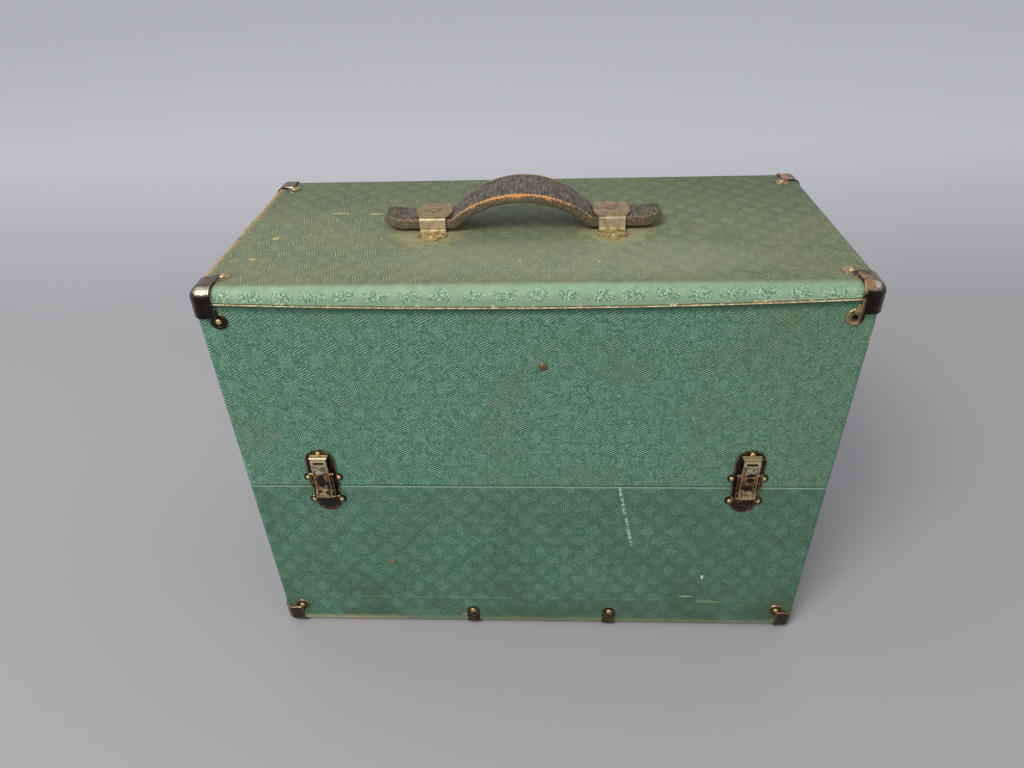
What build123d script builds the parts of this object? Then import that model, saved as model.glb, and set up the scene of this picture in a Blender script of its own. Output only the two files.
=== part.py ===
from build123d import *
import os
from math import atan2, cos, degrees, radians, sin

os.makedirs("parts", exist_ok=True)

# Millimetres. X runs along the case, +Y to its back, +Z up, with Z = 0 on the floor.

# The case, measured over its cloth
CASE_W = 450.0
CASE_D = 215.0
CASE_H = 336.0
SEAM_H = 165.5          # height of the opening line above the underside
SEAM_GAP = 0.4
LONG_EDGE_R = 5.0       # rounding of the edges that run along the case
END_EDGE_R = 4.5        # rounding of the edges round each end
FRONT_TOP_R = 9.0       # the softer front top edge
COVER_T = 0.8           # cloth glued over the wood
WOOD_CHAMFER = 3.2      # the wood's arrises under the cloth
WOOD_FRONT_TOP_CHAMFER = 6.0
TOP_CLOTH_PROUD = 0.4   # the heavier top sheet stands this far proud of the other cloth
LAP_SIDES = 327.0       # height of the top cloth's cut edge at the ends of the front
LAP_MIDDLE = 322.0      # height of the same edge at the middle, where it droops
LAP_RETURN = 9.0        # how far the top cloth turns down the ends and the back
WALL_T = 8.0
TOP_T = 6.0
BOTTOM_T = 6.0
LINING_T = 0.5
LINING_STOP = 1.0       # the lid's lining stops this far above the tongue
TONGUE_T = 3.0          # strip inside the rim that guides the lid shut
TONGUE_RISE = 6.0
TONGUE_DEPTH = 20.0
TONGUE_CHAMFER = 1.2

# Feet and corner guards
FOOT_H = 2.2            # how far the glides and guards lift the case
GLIDE_LEFT_X = -55.5
GLIDE_RIGHT_X = 65.0
GLIDE_W = 11.5
GLIDE_T = 1.2
GLIDE_TOP = 21.6        # height of the glide's tab above the underside
GLIDE_REACH = 22.0      # how far the glide runs in under the case
GLIDE_BEND_R = 5.0
GUARD_IN_X = 14.0       # reach of a guard along each edge of the case
GUARD_IN_Y = 19.5
GUARD_IN_Z = 19.5
GUARD_R = 7.4
GUARD_SEAT_CHAMFER = 2.6  # inside of the guards and glides, clear of the rounded cloth
LOBE_R = 6.5
LOBE_SIDES = 16
LOBE_T = 1.3
LOBE_SIDE = 15.4        # lobe centre, from the end of the case
LOBE_FACE = 22.0        # lobe centre, from the case's other faces

# Butt hinges at the back
HINGE_INSET = 75.0      # middle of each hinge, from the end of the case
HINGE_W = 50.0
HINGE_LEAF_H = 20.0
HINGE_LEAF_T = 1.2
HINGE_CORNER = 2.0
KNUCKLES = 3
KNUCKLE_R = 3.2
KNUCKLE_GAP = 0.3
KNUCKLE_STANDOFF = 0.2  # between the knuckle and the cloth behind it
HINGE_PIN_R = 1.5

# Draw latches on the front, with heights from the opening line or from a pivot
LATCH_LEFT_INSET = 62.0     # middle of the left latch, from that end of the case
LATCH_RIGHT_INSET = 62.5
PLATE_T = 1.0
PLATE_BACK_OFF = 0.4        # the base plate stops this far below the base's rim
KEEPER_HALF_W = 11.5
KEEPER_CAP = 5.6            # keeper plate above its lip
KEEPER_LUG_RISE = 9.8
KEEPER_LUG_X = 12.0
KEEPER_LUG_R = 3.3
BASE_PLATE_HALF_W = 10.4
BASE_PLATE_DROP = 25.0
BASE_LUG_DROP = 13.0
BASE_LUG_X = 10.9
BASE_LUG_R = 3.5
SADDLE_HALF_W = 5.0
SADDLE_OUT = 3.8
SADDLE_START = 0.9          # the saddle starts this far below the lever's window
SADDLE_SLOPE = 2.8
SADDLE_NOSE = 0.6
LIP_HALF_W = 6.75
LIP_T = 1.0
LIP_OUT = 4.5
LIP_ROUND = 0.3
LEVER_FIT = 0.3             # between the lever's end and the keeper's lip
LEVER_CLEAR = 0.4           # between the lever's sheet and the saddle behind it
LINK_PIVOT_DROP = 8.3       # the link swings here, on the base plate's ears
LINK_PIVOT_OUT = 2.8
LINK_LENGTH = 23.3          # from there up to the lever's pivot
LEVER_PIVOT_OUT = 3.4
LATCH_PIN_R = 0.9
PIN_PROUD = 0.7             # the pins stand out of the metal by this at each end
RUN_FIT = 0.05              # radial clearance of every pin in its holes
EAR_IN = 8.7
EAR_T = 1.0
EAR_R = 1.9
ARM_OUT = 8.4
ARM_T = 1.0
ARM_LOW_R = 1.4
ARM_HIGH_R = 1.6
WEB_START = 3.3             # web across the link, above the link's pivot
WEB_H = 4.0
WEB_BACK = 1.6
WEB_T = 0.8
LEVER_HALF_W = 6.3
LEVER_T = 0.9
LEVER_ABOVE = 15.1          # the lever's claw, above its pivot
LEVER_BELOW = 20.7          # the lever's finger tip, below its pivot
LEVER_BEND_BELOW = 14.6
LEVER_BEND_R = 6.0
LEVER_TIP_OUT = 7.4
LEVER_CORNER_R = 2.4
WINDOW_HALF_W = 4.2
WINDOW_ABOVE = 10.4         # the claw's window, above the lever's pivot
WINDOW_H = 2.4
FLANGE_BELOW = 12.6
FLANGE_ABOVE = 8.1
FLANGE_FLAT = 3.5
FLANGE_SLOPE = 2.0
FLANGE_BACK = 1.8
FLANGE_RISE = 0.4

# Leather handle and its two metal loops
HANDLE_Y = 1.5
LOOP_LEFT_X = -74.2
LOOP_RIGHT_X = 59.6
LOOP_T = 1.4
LOOP_INNER_W = 29.4
LOOP_INNER_H = 10.2
LOOP_LEG_W = 19.2
LOOP_FLARE_OUT = 4.0    # the bridge is wider than the legs by this, away from the grip
LOOP_FLARE_IN = 4.0     # and by this towards the grip
LOOP_FLARE_HALF_Y = 7.0
LOOP_FOOT_END = 33.8
LOOP_FOOT_W = 22.4
LOOP_FOOT_R = 4.0
LOOP_FOOT_FLAT = 27.6
LOOP_TAB_R = 5.0
LOOP_BEND_R = 2.0
STRAP_T = 7.6
STRAP_FIT = 0.4         # between the strap and the loop
STRAP_GRIP_W = 48.0
STRAP_TAIL = 38.8       # strap past the middle of each loop
STRAP_TIP_R = 13.0
STRAP_TIP_RISE = 4.5
STRAP_CROWN = 27.7      # middle of the strap's thickness at the crown, above the cloth
STRAP_CROWN_R = 72.5
STRAP_CROWN_ANGLE = 38.0
STRAP_SHOULDER_R = 12.0
STRAP_FOOT_ANGLE = 42.0
STRAP_FOOT_R = 8.0

# Heights and places that follow from the sizes above
UNDERSIDE = FOOT_H
SEAM_Z = UNDERSIDE + SEAM_H
TOP_Z = UNDERSIDE + CASE_H
BASE_RIM_Z = SEAM_Z - SEAM_GAP / 2
LID_RIM_Z = SEAM_Z + SEAM_GAP / 2
FRONT_Y = -CASE_D / 2
BACK_Y = CASE_D / 2
FAR = CASE_W + CASE_D + CASE_H
LINK_PIVOT_H = SEAM_H - LINK_PIVOT_DROP
LEVER_PIVOT_H = LINK_PIVOT_H + LINK_LENGTH
LEVER_HEAD = LEVER_PIVOT_H + LEVER_ABOVE
WINDOW_FOOT = LEVER_PIVOT_H + WINDOW_ABOVE
LEVER_BACK = SADDLE_OUT + LEVER_CLEAR
LIP_FOOT = LEVER_HEAD + LEVER_FIT


def span(x0, x1, y0, y1, z0, z1):
    """A block between two corners."""
    block = Box(x1 - x0, y1 - y0, z1 - z0)
    return Pos((x0 + x1) / 2, (y0 + y1) / 2, (z0 + z1) / 2) * block


def case_form(inset):
    """The closed case as one rounded block, drawn in on every side by inset."""
    y = CASE_D / 2 - inset
    z0 = UNDERSIDE + inset
    z1 = TOP_Z - inset
    long_r = LONG_EDGE_R - inset
    corners = [(-y, z0), (y, z0), (y, z1), (-y, z1)]
    radii = [long_r, long_r, long_r, FRONT_TOP_R - inset]
    profile = make_face(FilletPolyline(*corners, radius=radii, close=True))
    form = extrude(Plane.YZ * profile, amount=CASE_W / 2 - inset, both=True)
    return fillet(form.faces().filter_by(Axis.X).edges(), END_EDGE_R - inset)


def square_form(inset, chamfer_size, front_top_size):
    """The closed case as one block with flat chamfers in place of the roundings."""
    y = CASE_D / 2 - inset
    z0 = UNDERSIDE + inset
    z1 = TOP_Z - inset
    c = chamfer_size
    t = front_top_size
    profile = Polyline(
        (-y, z0 + c), (-y + c, z0), (y - c, z0), (y, z0 + c),
        (y, z1 - c), (y - c, z1), (-y + t, z1), (-y, z1 - t),
        close=True,
    )
    form = extrude(Plane.YZ * make_face(profile), amount=CASE_W / 2 - inset, both=True)
    return chamfer(form.faces().filter_by(Axis.X).edges(), c)


outer_form = case_form(0.0)
wood_form = square_form(COVER_T, WOOD_CHAMFER, WOOD_FRONT_TOP_CHAMFER)
base_seat = square_form(0.0, GUARD_SEAT_CHAMFER, GUARD_SEAT_CHAMFER)
lid_seat = square_form(-TOP_CLOTH_PROUD, GUARD_SEAT_CHAMFER, GUARD_SEAT_CHAMFER)
lid_space = span(-FAR, FAR, -FAR, FAR, LID_RIM_Z, FAR)
base_space = span(-FAR, FAR, -FAR, FAR, -FAR, BASE_RIM_Z)

# Inside faces of the wood
IN_X = CASE_W / 2 - COVER_T - WALL_T
IN_Y = CASE_D / 2 - COVER_T - WALL_T
IN_TOP = TOP_Z - COVER_T - TOP_T
IN_BOTTOM = UNDERSIDE + COVER_T + BOTTOM_T


def wood(x0, x1, y0, y1, z0, z1):
    """A wooden panel: a block of the case's rounded wooden form."""
    return wood_form & span(x0, x1, y0, y1, z0, z1)


def walls(low, high):
    """The front, back, left and right panels between two heights."""
    return {
        "front": wood(-IN_X, IN_X, -FAR, -IN_Y, low, high),
        "back": wood(-IN_X, IN_X, IN_Y, FAR, low, high),
        "left": wood(-FAR, -IN_X, -FAR, FAR, low, high),
        "right": wood(IN_X, FAR, -FAR, FAR, low, high),
    }


# Cloth: one glued skin round each half, and a heavier sheet over the top of the lid
skin = outer_form - wood_form
top_sheet_form = case_form(-TOP_CLOTH_PROUD)
lap_left = (-CASE_W / 2, UNDERSIDE + LAP_SIDES)
lap_right = (CASE_W / 2, UNDERSIDE + LAP_SIDES)
lap_edge = ThreePointArc(lap_left, (0, UNDERSIDE + LAP_MIDDLE), lap_right)
lap_outline = [
    lap_edge,
    Line(lap_right, (CASE_W, UNDERSIDE + LAP_SIDES)),
    Line((CASE_W, UNDERSIDE + LAP_SIDES), (CASE_W, FAR)),
    Line((CASE_W, FAR), (-CASE_W, FAR)),
    Line((-CASE_W, FAR), (-CASE_W, UNDERSIDE + LAP_SIDES)),
    Line((-CASE_W, UNDERSIDE + LAP_SIDES), lap_left),
]
front_lap = extrude(Plane.XZ * make_face(lap_outline), amount=FAR, both=True)
front_lap = front_lap & span(-FAR, FAR, -FAR, FRONT_Y + COVER_T, -FAR, FAR)
other_laps = span(-FAR, FAR, FRONT_Y + COVER_T, FAR, TOP_Z - LAP_RETURN, FAR)
top_region = front_lap + other_laps
top_cloth = (top_sheet_form - wood_form) & top_region


def lining(low, high, floor_z):
    """A thin tray of lining paper against the inside of the wood, closed at floor_z."""
    tray = span(-IN_X, IN_X, -IN_Y, IN_Y, low, high)
    x = IN_X - LINING_T
    y = IN_Y - LINING_T
    if floor_z == low:
        return tray - span(-x, x, -y, y, low + LINING_T, high)
    return tray - span(-x, x, -y, y, low, high - LINING_T)


def tongue():
    """Three strips that stand inside the rim at the front and the ends."""
    x = IN_X - LINING_T
    y = IN_Y - LINING_T
    low = SEAM_Z - TONGUE_DEPTH
    high = SEAM_Z + TONGUE_RISE
    front = span(-x, x, -y, -y + TONGUE_T, low, high)
    left = span(-x, -x + TONGUE_T, -y + TONGUE_T, y - TONGUE_DEPTH, low, high)
    right = span(x - TONGUE_T, x, -y + TONGUE_T, y - TONGUE_DEPTH, low, high)
    front_edge = front.edges().filter_by(Axis.X).group_by(Axis.Z)[-1].sort_by(Axis.Y)[0]
    left_edge = left.edges().filter_by(Axis.Y).group_by(Axis.Z)[-1].sort_by(Axis.X)[0]
    right_edge = right.edges().filter_by(Axis.Y).group_by(Axis.Z)[-1].sort_by(Axis.X)[-1]
    return [
        chamfer(front_edge, TONGUE_CHAMFER),
        chamfer(left_edge, TONGUE_CHAMFER),
        chamfer(right_edge, TONGUE_CHAMFER),
    ]


def guard():
    """One pressed corner guard, for a case corner at the origin with the case in +X +Y +Z."""
    p = FOOT_H
    outside = span(-p, GUARD_IN_X, -p, GUARD_IN_Y, -p, GUARD_IN_Z)
    outer_edges = (
        outside.edges().filter_by(Axis.X).sort_by(lambda e: e.center().Y + e.center().Z)[:1]
        + outside.edges().filter_by(Axis.Y).sort_by(lambda e: e.center().X + e.center().Z)[:1]
        + outside.edges().filter_by(Axis.Z).sort_by(lambda e: e.center().X + e.center().Y)[:1]
    )
    outside = fillet(outer_edges, GUARD_R)
    disc = RegularPolygon(LOBE_R, LOBE_SIDES)
    lobe = Pos(0, 0, -FOOT_H) * extrude(disc, amount=LOBE_T + FOOT_H)
    top_lobe = Pos(LOBE_SIDE, LOBE_FACE, 0) * Rot(180, 0, 0) * lobe
    front_lobe = Pos(LOBE_SIDE, 0, LOBE_FACE) * Rot(90, 0, 0) * lobe
    end_lobe = Pos(0, LOBE_FACE, LOBE_FACE) * Rot(0, -90, 0) * lobe
    return outside + top_lobe + front_lobe + end_lobe


def guards(is_lid, form):
    """The four guards of one half, each pressed to the form beneath it."""
    raw = guard()
    placed = []
    for left in (True, False):
        for front in (True, False):
            piece = raw
            if not left:
                piece = mirror(piece, about=Plane.YZ)
            if not front:
                piece = mirror(piece, about=Plane.XZ)
            if is_lid:
                piece = mirror(piece, about=Plane.XY)
            x = -CASE_W / 2 if left else CASE_W / 2
            y = FRONT_Y if front else BACK_Y
            z = TOP_Z if is_lid else UNDERSIDE
            placed.append(Pos(x, y, z) * piece - form)
    return placed


def glide(x, front):
    """A bent metal glide: a tab up the face and a pad under the case."""
    y0 = FRONT_Y - GLIDE_T
    block = span(-GLIDE_W / 2, GLIDE_W / 2, y0, FRONT_Y + GLIDE_REACH, 0, UNDERSIDE + GLIDE_TOP)
    bend = block.edges().filter_by(Axis.X).sort_by(lambda e: e.center().Y + e.center().Z)[0]
    block = fillet(bend, GLIDE_BEND_R)
    top = UNDERSIDE + GLIDE_TOP - GLIDE_W / 2
    tab = Pos(0, top) * Circle(GLIDE_W / 2) + Pos(0, top / 2) * Rectangle(GLIDE_W, top)
    block = block & extrude(Plane.XZ * tab, amount=FAR, both=True)
    if not front:
        block = mirror(block, about=Plane.XZ)
    return Pos(x, 0, 0) * block - base_seat


HINGE_AXIS_Y = BACK_Y + KNUCKLE_STANDOFF + KNUCKLE_R
KNUCKLE_W = (HINGE_W - (KNUCKLES - 1) * KNUCKLE_GAP) / KNUCKLES


def hinge_leaf(x, is_lid):
    """One leaf with its knuckles; the base leaf has the two outer knuckles."""
    side = 1 if is_lid else -1
    low = SEAM_Z + side * SEAM_GAP
    high = SEAM_Z + side * HINGE_LEAF_H
    z0 = min(low, high)
    z1 = max(low, high)
    leaf = span(-HINGE_W / 2, HINGE_W / 2, BACK_Y, BACK_Y + HINGE_LEAF_T, z0, z1)
    far = leaf.edges().filter_by(Axis.Y).group_by(Axis.Z)[-1 if is_lid else 0]
    leaf = chamfer(far, HINGE_CORNER)
    axis = Pos(0, HINGE_AXIS_Y, SEAM_Z) * Rot(0, 90, 0)
    for k in range(KNUCKLES):
        start = -HINGE_W / 2 + k * (KNUCKLE_W + KNUCKLE_GAP)
        middle = Pos(start + KNUCKLE_W / 2, 0, 0) * axis
        if (k % 2 == 1) == is_lid:
            leaf = leaf + middle * Cylinder(KNUCKLE_R, KNUCKLE_W)
        else:
            room = KNUCKLE_R + KNUCKLE_GAP
            leaf = leaf - middle * Box(2 * room, 2 * room, KNUCKLE_W + 2 * KNUCKLE_GAP)
    leaf = leaf - axis * Cylinder(HINGE_PIN_R + RUN_FIT, 2 * HINGE_W)
    return Pos(x, 0, 0) * leaf


def hinge_pin(x):
    """The plain wire pin of one hinge."""
    return Pos(x, HINGE_AXIS_Y, SEAM_Z) * Rot(0, 90, 0) * Cylinder(HINGE_PIN_R, HINGE_W)


# Latches are drawn on the case's front: u across, v up from the underside, w out of the face
def latch_frame(x):
    return Plane(origin=(x, FRONT_Y, UNDERSIDE), x_dir=(1, 0, 0), z_dir=(0, -1, 0)).location


def side_plate(outline, half_w):
    """A solid with its outline in v and w, centred across the latch."""
    return extrude(Plane.YZ * make_face(Polyline(*outline, close=True)), amount=half_w, both=True)


def cross_pin(v, w, half_w):
    """A plain pin across the latch, standing proud of half_w at each end."""
    return Pos(0, v, w) * Rot(0, 90, 0) * Cylinder(LATCH_PIN_R, 2 * (half_w + PIN_PROUD))


def pin_bore(v, w, half_w):
    return Pos(0, v, w) * Rot(0, 90, 0) * Cylinder(LATCH_PIN_R + RUN_FIT, 2 * half_w)


def keeper():
    """The lid's plate, with the saddle that the lever's bar closes over and a lip above it."""
    foot = SEAM_H + SEAM_GAP / 2
    shoulder = LIP_FOOT + LIP_T + KEEPER_CAP - KEEPER_HALF_W
    lug = SEAM_H + KEEPER_LUG_RISE
    outline = Pos(0, (foot + shoulder) / 2) * Rectangle(2 * KEEPER_HALF_W, shoulder - foot)
    outline = outline + Pos(0, shoulder) * Circle(KEEPER_HALF_W)
    for side in (-1, 1):
        outline = outline + Pos(side * KEEPER_LUG_X, lug) * Circle(KEEPER_LUG_R)
    plate = extrude(outline, amount=PLATE_T)
    back = PLATE_T / 2
    foot = WINDOW_FOOT - SADDLE_START
    saddle = [
        (foot, back),
        (foot + SADDLE_SLOPE - SADDLE_NOSE, SADDLE_OUT - SADDLE_NOSE),
        (foot + SADDLE_SLOPE, SADDLE_OUT),
        (LIP_FOOT, SADDLE_OUT),
        (LIP_FOOT, back),
    ]
    head = LIP_FOOT + LIP_T
    lip = [
        (LIP_FOOT, back),
        (LIP_FOOT, LIP_OUT - LIP_ROUND),
        (LIP_FOOT + LIP_ROUND, LIP_OUT),
        (head - LIP_ROUND, LIP_OUT),
        (head, LIP_OUT - LIP_ROUND),
        (head, back),
    ]
    return plate + side_plate(saddle, SADDLE_HALF_W) + side_plate(lip, LIP_HALF_W)


def latch_base_plate():
    """The base's plate, with two ears that carry the link."""
    head = SEAM_H - SEAM_GAP / 2 - PLATE_BACK_OFF
    low = SEAM_H - BASE_PLATE_DROP + BASE_PLATE_HALF_W
    lug = SEAM_H - BASE_LUG_DROP
    outline = Pos(0, (low + head) / 2) * Rectangle(2 * BASE_PLATE_HALF_W, head - low)
    outline = outline + Pos(0, low) * Circle(BASE_PLATE_HALF_W)
    for side in (-1, 1):
        outline = outline + Pos(side * BASE_LUG_X, lug) * Circle(BASE_LUG_R)
    plate = extrude(outline, amount=PLATE_T)
    ear = Pos(LINK_PIVOT_H, LINK_PIVOT_OUT) * Circle(EAR_R)
    ear = ear + Pos(LINK_PIVOT_H, LINK_PIVOT_OUT / 2) * Rectangle(2 * EAR_R, LINK_PIVOT_OUT)
    for side in (-1, 1):
        ear_plane = Plane.YZ.offset(EAR_IN if side == 1 else -EAR_IN - EAR_T)
        plate = plate + extrude(ear_plane * ear, amount=EAR_T)
    return plate - pin_bore(LINK_PIVOT_H, LINK_PIVOT_OUT, 2 * EAR_IN)


def latch_link():
    """The U-shaped link: two arms beside the lever, joined by a web behind it."""
    low = (LINK_PIVOT_H, LINK_PIVOT_OUT)
    high = (LEVER_PIVOT_H, LEVER_PIVOT_OUT)
    lean = atan2(high[1] - low[1], high[0] - low[0])
    across = (-sin(lean), cos(lean))
    outline = []
    for centre, r, first in ((high, ARM_HIGH_R, 1), (low, ARM_LOW_R, -1)):
        for angle in (90, 45, 0, -45, -90):
            u = first * r * cos(radians(angle))
            v = first * r * sin(radians(angle))
            outline.append((centre[0] + u * across[1] + v * across[0],
                            centre[1] - u * across[0] + v * across[1]))
    arm = make_face(Polyline(*outline, close=True))
    left = extrude(Plane.YZ.offset(-ARM_OUT) * arm, amount=ARM_T)
    right = extrude(Plane.YZ.offset(ARM_OUT - ARM_T) * arm, amount=ARM_T)
    inner = ARM_OUT - ARM_T / 2
    web_foot = LINK_PIVOT_H + WEB_START
    web = span(-inner, inner, web_foot, web_foot + WEB_H, WEB_BACK, WEB_BACK + WEB_T)
    link = left + right + web
    link = link - pin_bore(LINK_PIVOT_H, LINK_PIVOT_OUT, EAR_IN)
    return link - pin_bore(LEVER_PIVOT_H, LEVER_PIVOT_OUT, EAR_IN)


def latch_lever():
    """The lever: a channel with a finger lip below and a windowed claw above."""
    middle = LEVER_BACK + LEVER_T / 2
    tip = LEVER_PIVOT_H - LEVER_BELOW
    route = [
        (LEVER_HEAD, middle),
        (LEVER_PIVOT_H - LEVER_BEND_BELOW, middle),
        (tip, LEVER_TIP_OUT),
    ]
    bend = FilletPolyline(*route, radius=LEVER_BEND_R)
    sheet = extrude(Plane.YZ * trace(bend, LEVER_T), amount=LEVER_HALF_W, both=True)
    low = tip - LEVER_T
    high = LEVER_HEAD + LEVER_T
    plan = Pos(0, (low + high) / 2) * RectangleRounded(2 * LEVER_HALF_W, high - low, LEVER_CORNER_R)
    sheet = sheet & extrude(plan, amount=FAR, both=True)
    window = Pos(0, WINDOW_FOOT + WINDOW_H / 2) * Rectangle(2 * WINDOW_HALF_W, WINDOW_H)
    sheet = sheet - extrude(window, amount=FAR, both=True)
    foot = LEVER_PIVOT_H - FLANGE_BELOW
    flange = make_face(Polyline(
        (foot, middle),
        (foot + FLANGE_SLOPE, FLANGE_BACK + FLANGE_RISE),
        (LEVER_PIVOT_H - FLANGE_FLAT, FLANGE_BACK),
        (LEVER_PIVOT_H + FLANGE_FLAT, FLANGE_BACK),
        (LEVER_PIVOT_H + FLANGE_ABOVE, middle),
        close=True,
    ))
    lever = sheet
    for side in (-1, 1):
        start = LEVER_HALF_W - LEVER_T if side == 1 else -LEVER_HALF_W
        lever = lever + extrude(Plane.YZ.offset(start) * flange, amount=LEVER_T)
    return lever - pin_bore(LEVER_PIVOT_H, LEVER_PIVOT_OUT, EAR_IN)


CLOTH_Z = TOP_Z + TOP_CLOTH_PROUD
LOOP_HALF_Y = LOOP_INNER_W / 2 + LOOP_T / 2


def handle_loop(x, outward):
    """A pressed loop: two feet nailed to the top and a bridge over the strap."""
    half = LOOP_T / 2
    top = LOOP_INNER_H + half
    route = [
        (-LOOP_FOOT_END, half),
        (-LOOP_HALF_Y, half),
        (-LOOP_HALF_Y, top),
        (LOOP_HALF_Y, top),
        (LOOP_HALF_Y, half),
        (LOOP_FOOT_END, half),
    ]
    strip = extrude(
        Plane.YZ * trace(FilletPolyline(*route, radius=LOOP_BEND_R), LOOP_T), amount=FAR / 8, both=True
    )
    leg = LOOP_LEG_W / 2
    outer = leg + LOOP_FLARE_OUT
    inner = -leg - LOOP_FLARE_IN
    plan = Rectangle(LOOP_LEG_W, 2 * LOOP_FOOT_FLAT)
    plan = plan + make_face(Polyline(
        (outer, -LOOP_FLARE_HALF_Y),
        (outer, LOOP_FLARE_HALF_Y),
        (leg, LOOP_HALF_Y),
        (-leg, LOOP_HALF_Y),
        (inner, LOOP_FLARE_HALF_Y),
        (inner, -LOOP_FLARE_HALF_Y),
        (-leg, -LOOP_HALF_Y),
        (leg, -LOOP_HALF_Y),
        close=True,
    ))
    for side in (-1, 1):
        y0 = LOOP_HALF_Y + LOOP_BEND_R
        flat = RectangleRounded(LOOP_FOOT_W, LOOP_FOOT_FLAT - y0, LOOP_FOOT_R)
        flat = Pos(0, side * (y0 + LOOP_FOOT_FLAT) / 2) * flat
        tab = Pos(0, side * (LOOP_FOOT_END - LOOP_TAB_R)) * Circle(LOOP_TAB_R)
        neck = Pos(0, side * LOOP_FOOT_FLAT) * Rectangle(2 * LOOP_TAB_R, LOOP_TAB_R)
        plan = plan + flat + tab + neck
    loop = strip & extrude(plan, amount=FAR / 8, both=True)
    if outward < 0:
        loop = mirror(loop, about=Plane.YZ)
    return Pos(x, HANDLE_Y, CLOTH_Z) * loop


STRAP_MIDDLE_Z = CLOTH_Z + LOOP_INNER_H - STRAP_FIT - STRAP_T / 2
STRAP_W = LOOP_INNER_W - 2 * STRAP_FIT
GRIP_X = (LOOP_LEFT_X + LOOP_RIGHT_X) / 2
LOOP_SPAN = (LOOP_RIGHT_X - LOOP_LEFT_X) / 2


def strap():
    """The whole leather strap: flat in the loops, arched between them, with curled tips."""
    crown_z = CLOTH_Z + STRAP_CROWN
    a = radians(STRAP_CROWN_ANGLE)
    b = radians(STRAP_FOOT_ANGLE)
    crown_r = STRAP_CROWN_R
    shoulder_r = STRAP_SHOULDER_R
    foot_r = STRAP_FOOT_R
    x1 = crown_r * sin(a)
    z1 = crown_z - crown_r * (1 - cos(a))
    x2 = x1 + shoulder_r * (sin(b) - sin(a))
    z2 = z1 - shoulder_r * (cos(a) - cos(b))
    foot_z = STRAP_MIDDLE_Z + foot_r * (1 - cos(b))
    x3 = x2 + (z2 - foot_z) * cos(b) / sin(b)
    x4 = x3 + foot_r * sin(b)
    tip = LOOP_SPAN + STRAP_TAIL
    print("strap lies flat from", round(x4, 2), "loop inner edge at", LOOP_SPAN - LOOP_LEG_W / 2)
    halves = []
    for side in (-1, 1):
        crown = CenterArc((0, crown_z - crown_r), crown_r, 90, side * -STRAP_CROWN_ANGLE)
        shoulder_c = (side * (x1 - shoulder_r * sin(a)), z1 - shoulder_r * cos(a))
        shoulder_start = 90 - side * STRAP_CROWN_ANGLE
        shoulder_turn = side * -(STRAP_FOOT_ANGLE - STRAP_CROWN_ANGLE)
        shoulder = CenterArc(shoulder_c, shoulder_r, shoulder_start, shoulder_turn)
        slope = Line((side * x2, z2), (side * x3, foot_z))
        foot_c = (side * x4, STRAP_MIDDLE_Z + foot_r)
        foot = CenterArc(foot_c, foot_r, 270 - side * STRAP_FOOT_ANGLE, side * STRAP_FOOT_ANGLE)
        tail_x = LOOP_SPAN + STRAP_TAIL / 2
        flat = Line((side * x4, STRAP_MIDDLE_Z), (side * tail_x, STRAP_MIDDLE_Z))
        rise = (tip - tail_x) ** 2 / (2 * STRAP_TIP_RISE)
        turn = degrees(atan2(tip - tail_x, rise))
        curl = CenterArc((side * tail_x, STRAP_MIDDLE_Z + rise), rise, 270, side * turn)
        halves += [crown, shoulder, slope, foot, flat, curl]
    band = Sketch() + [trace(line, STRAP_T) for line in halves]
    solid = extrude(Plane.XZ * band, amount=STRAP_GRIP_W, both=True)
    half_w = STRAP_W / 2
    grip = STRAP_GRIP_W / 2
    reach = LOOP_SPAN - LOOP_LEG_W / 2
    outline = [
        ThreePointArc((-reach, half_w), (0, grip), (reach, half_w)),
        Line((reach, half_w), (reach, -half_w)),
        ThreePointArc((reach, -half_w), (0, -grip), (-reach, -half_w)),
        Line((-reach, -half_w), (-reach, half_w)),
    ]
    plan = make_face(outline) + RectangleRounded(2 * tip, STRAP_W, STRAP_TIP_R)
    solid = solid & Pos(0, 0, TOP_Z) * extrude(plan, amount=FAR / 4, both=True)
    return Pos(GRIP_X, HANDLE_Y, 0) * solid


latches = {"left": -CASE_W / 2 + LATCH_LEFT_INSET, "right": CASE_W / 2 - LATCH_RIGHT_INSET}
loops = {"left": LOOP_LEFT_X, "right": LOOP_RIGHT_X}
parts = {}

lid_walls = walls(LID_RIM_Z, IN_TOP)
base_walls = walls(IN_BOTTOM, BASE_RIM_Z)
for side in ("front", "back", "left", "right"):
    parts[f"lid_{side}_panel"] = lid_walls[side]
    parts[f"base_{side}_panel"] = base_walls[side]
parts["lid_top_panel"] = wood(-FAR, FAR, -FAR, FAR, IN_TOP, FAR)
parts["base_bottom_panel"] = wood(-FAR, FAR, -FAR, FAR, -FAR, IN_BOTTOM)
parts["lid_covering"] = (skin & lid_space) - top_region
parts["base_covering"] = skin & base_space
parts["lid_top_cloth"] = top_cloth
parts["lid_lining"] = lining(SEAM_Z + TONGUE_RISE + LINING_STOP, IN_TOP, IN_TOP)
parts["base_lining"] = lining(IN_BOTTOM, BASE_RIM_Z, IN_BOTTOM)
parts["base_rim_tongue"] = Compound(children=[Part() + piece for piece in tongue()])
parts["lid_corner_guards"] = Compound(children=guards(True, lid_seat))
parts["base_corner_guards"] = Compound(children=guards(False, base_seat))
for name, x in (("left", GLIDE_LEFT_X), ("right", GLIDE_RIGHT_X)):
    parts[f"front_{name}_glide"] = glide(x, True)
    parts[f"back_{name}_glide"] = glide(x, False)
hinges = {"left": -CASE_W / 2 + HINGE_INSET, "right": CASE_W / 2 - HINGE_INSET}
for name, x in hinges.items():
    parts[f"{name}_hinge_base_leaf"] = hinge_leaf(x, False)
    parts[f"{name}_hinge_lid_leaf"] = hinge_leaf(x, True)
    parts[f"{name}_hinge_pin"] = hinge_pin(x)
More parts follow.
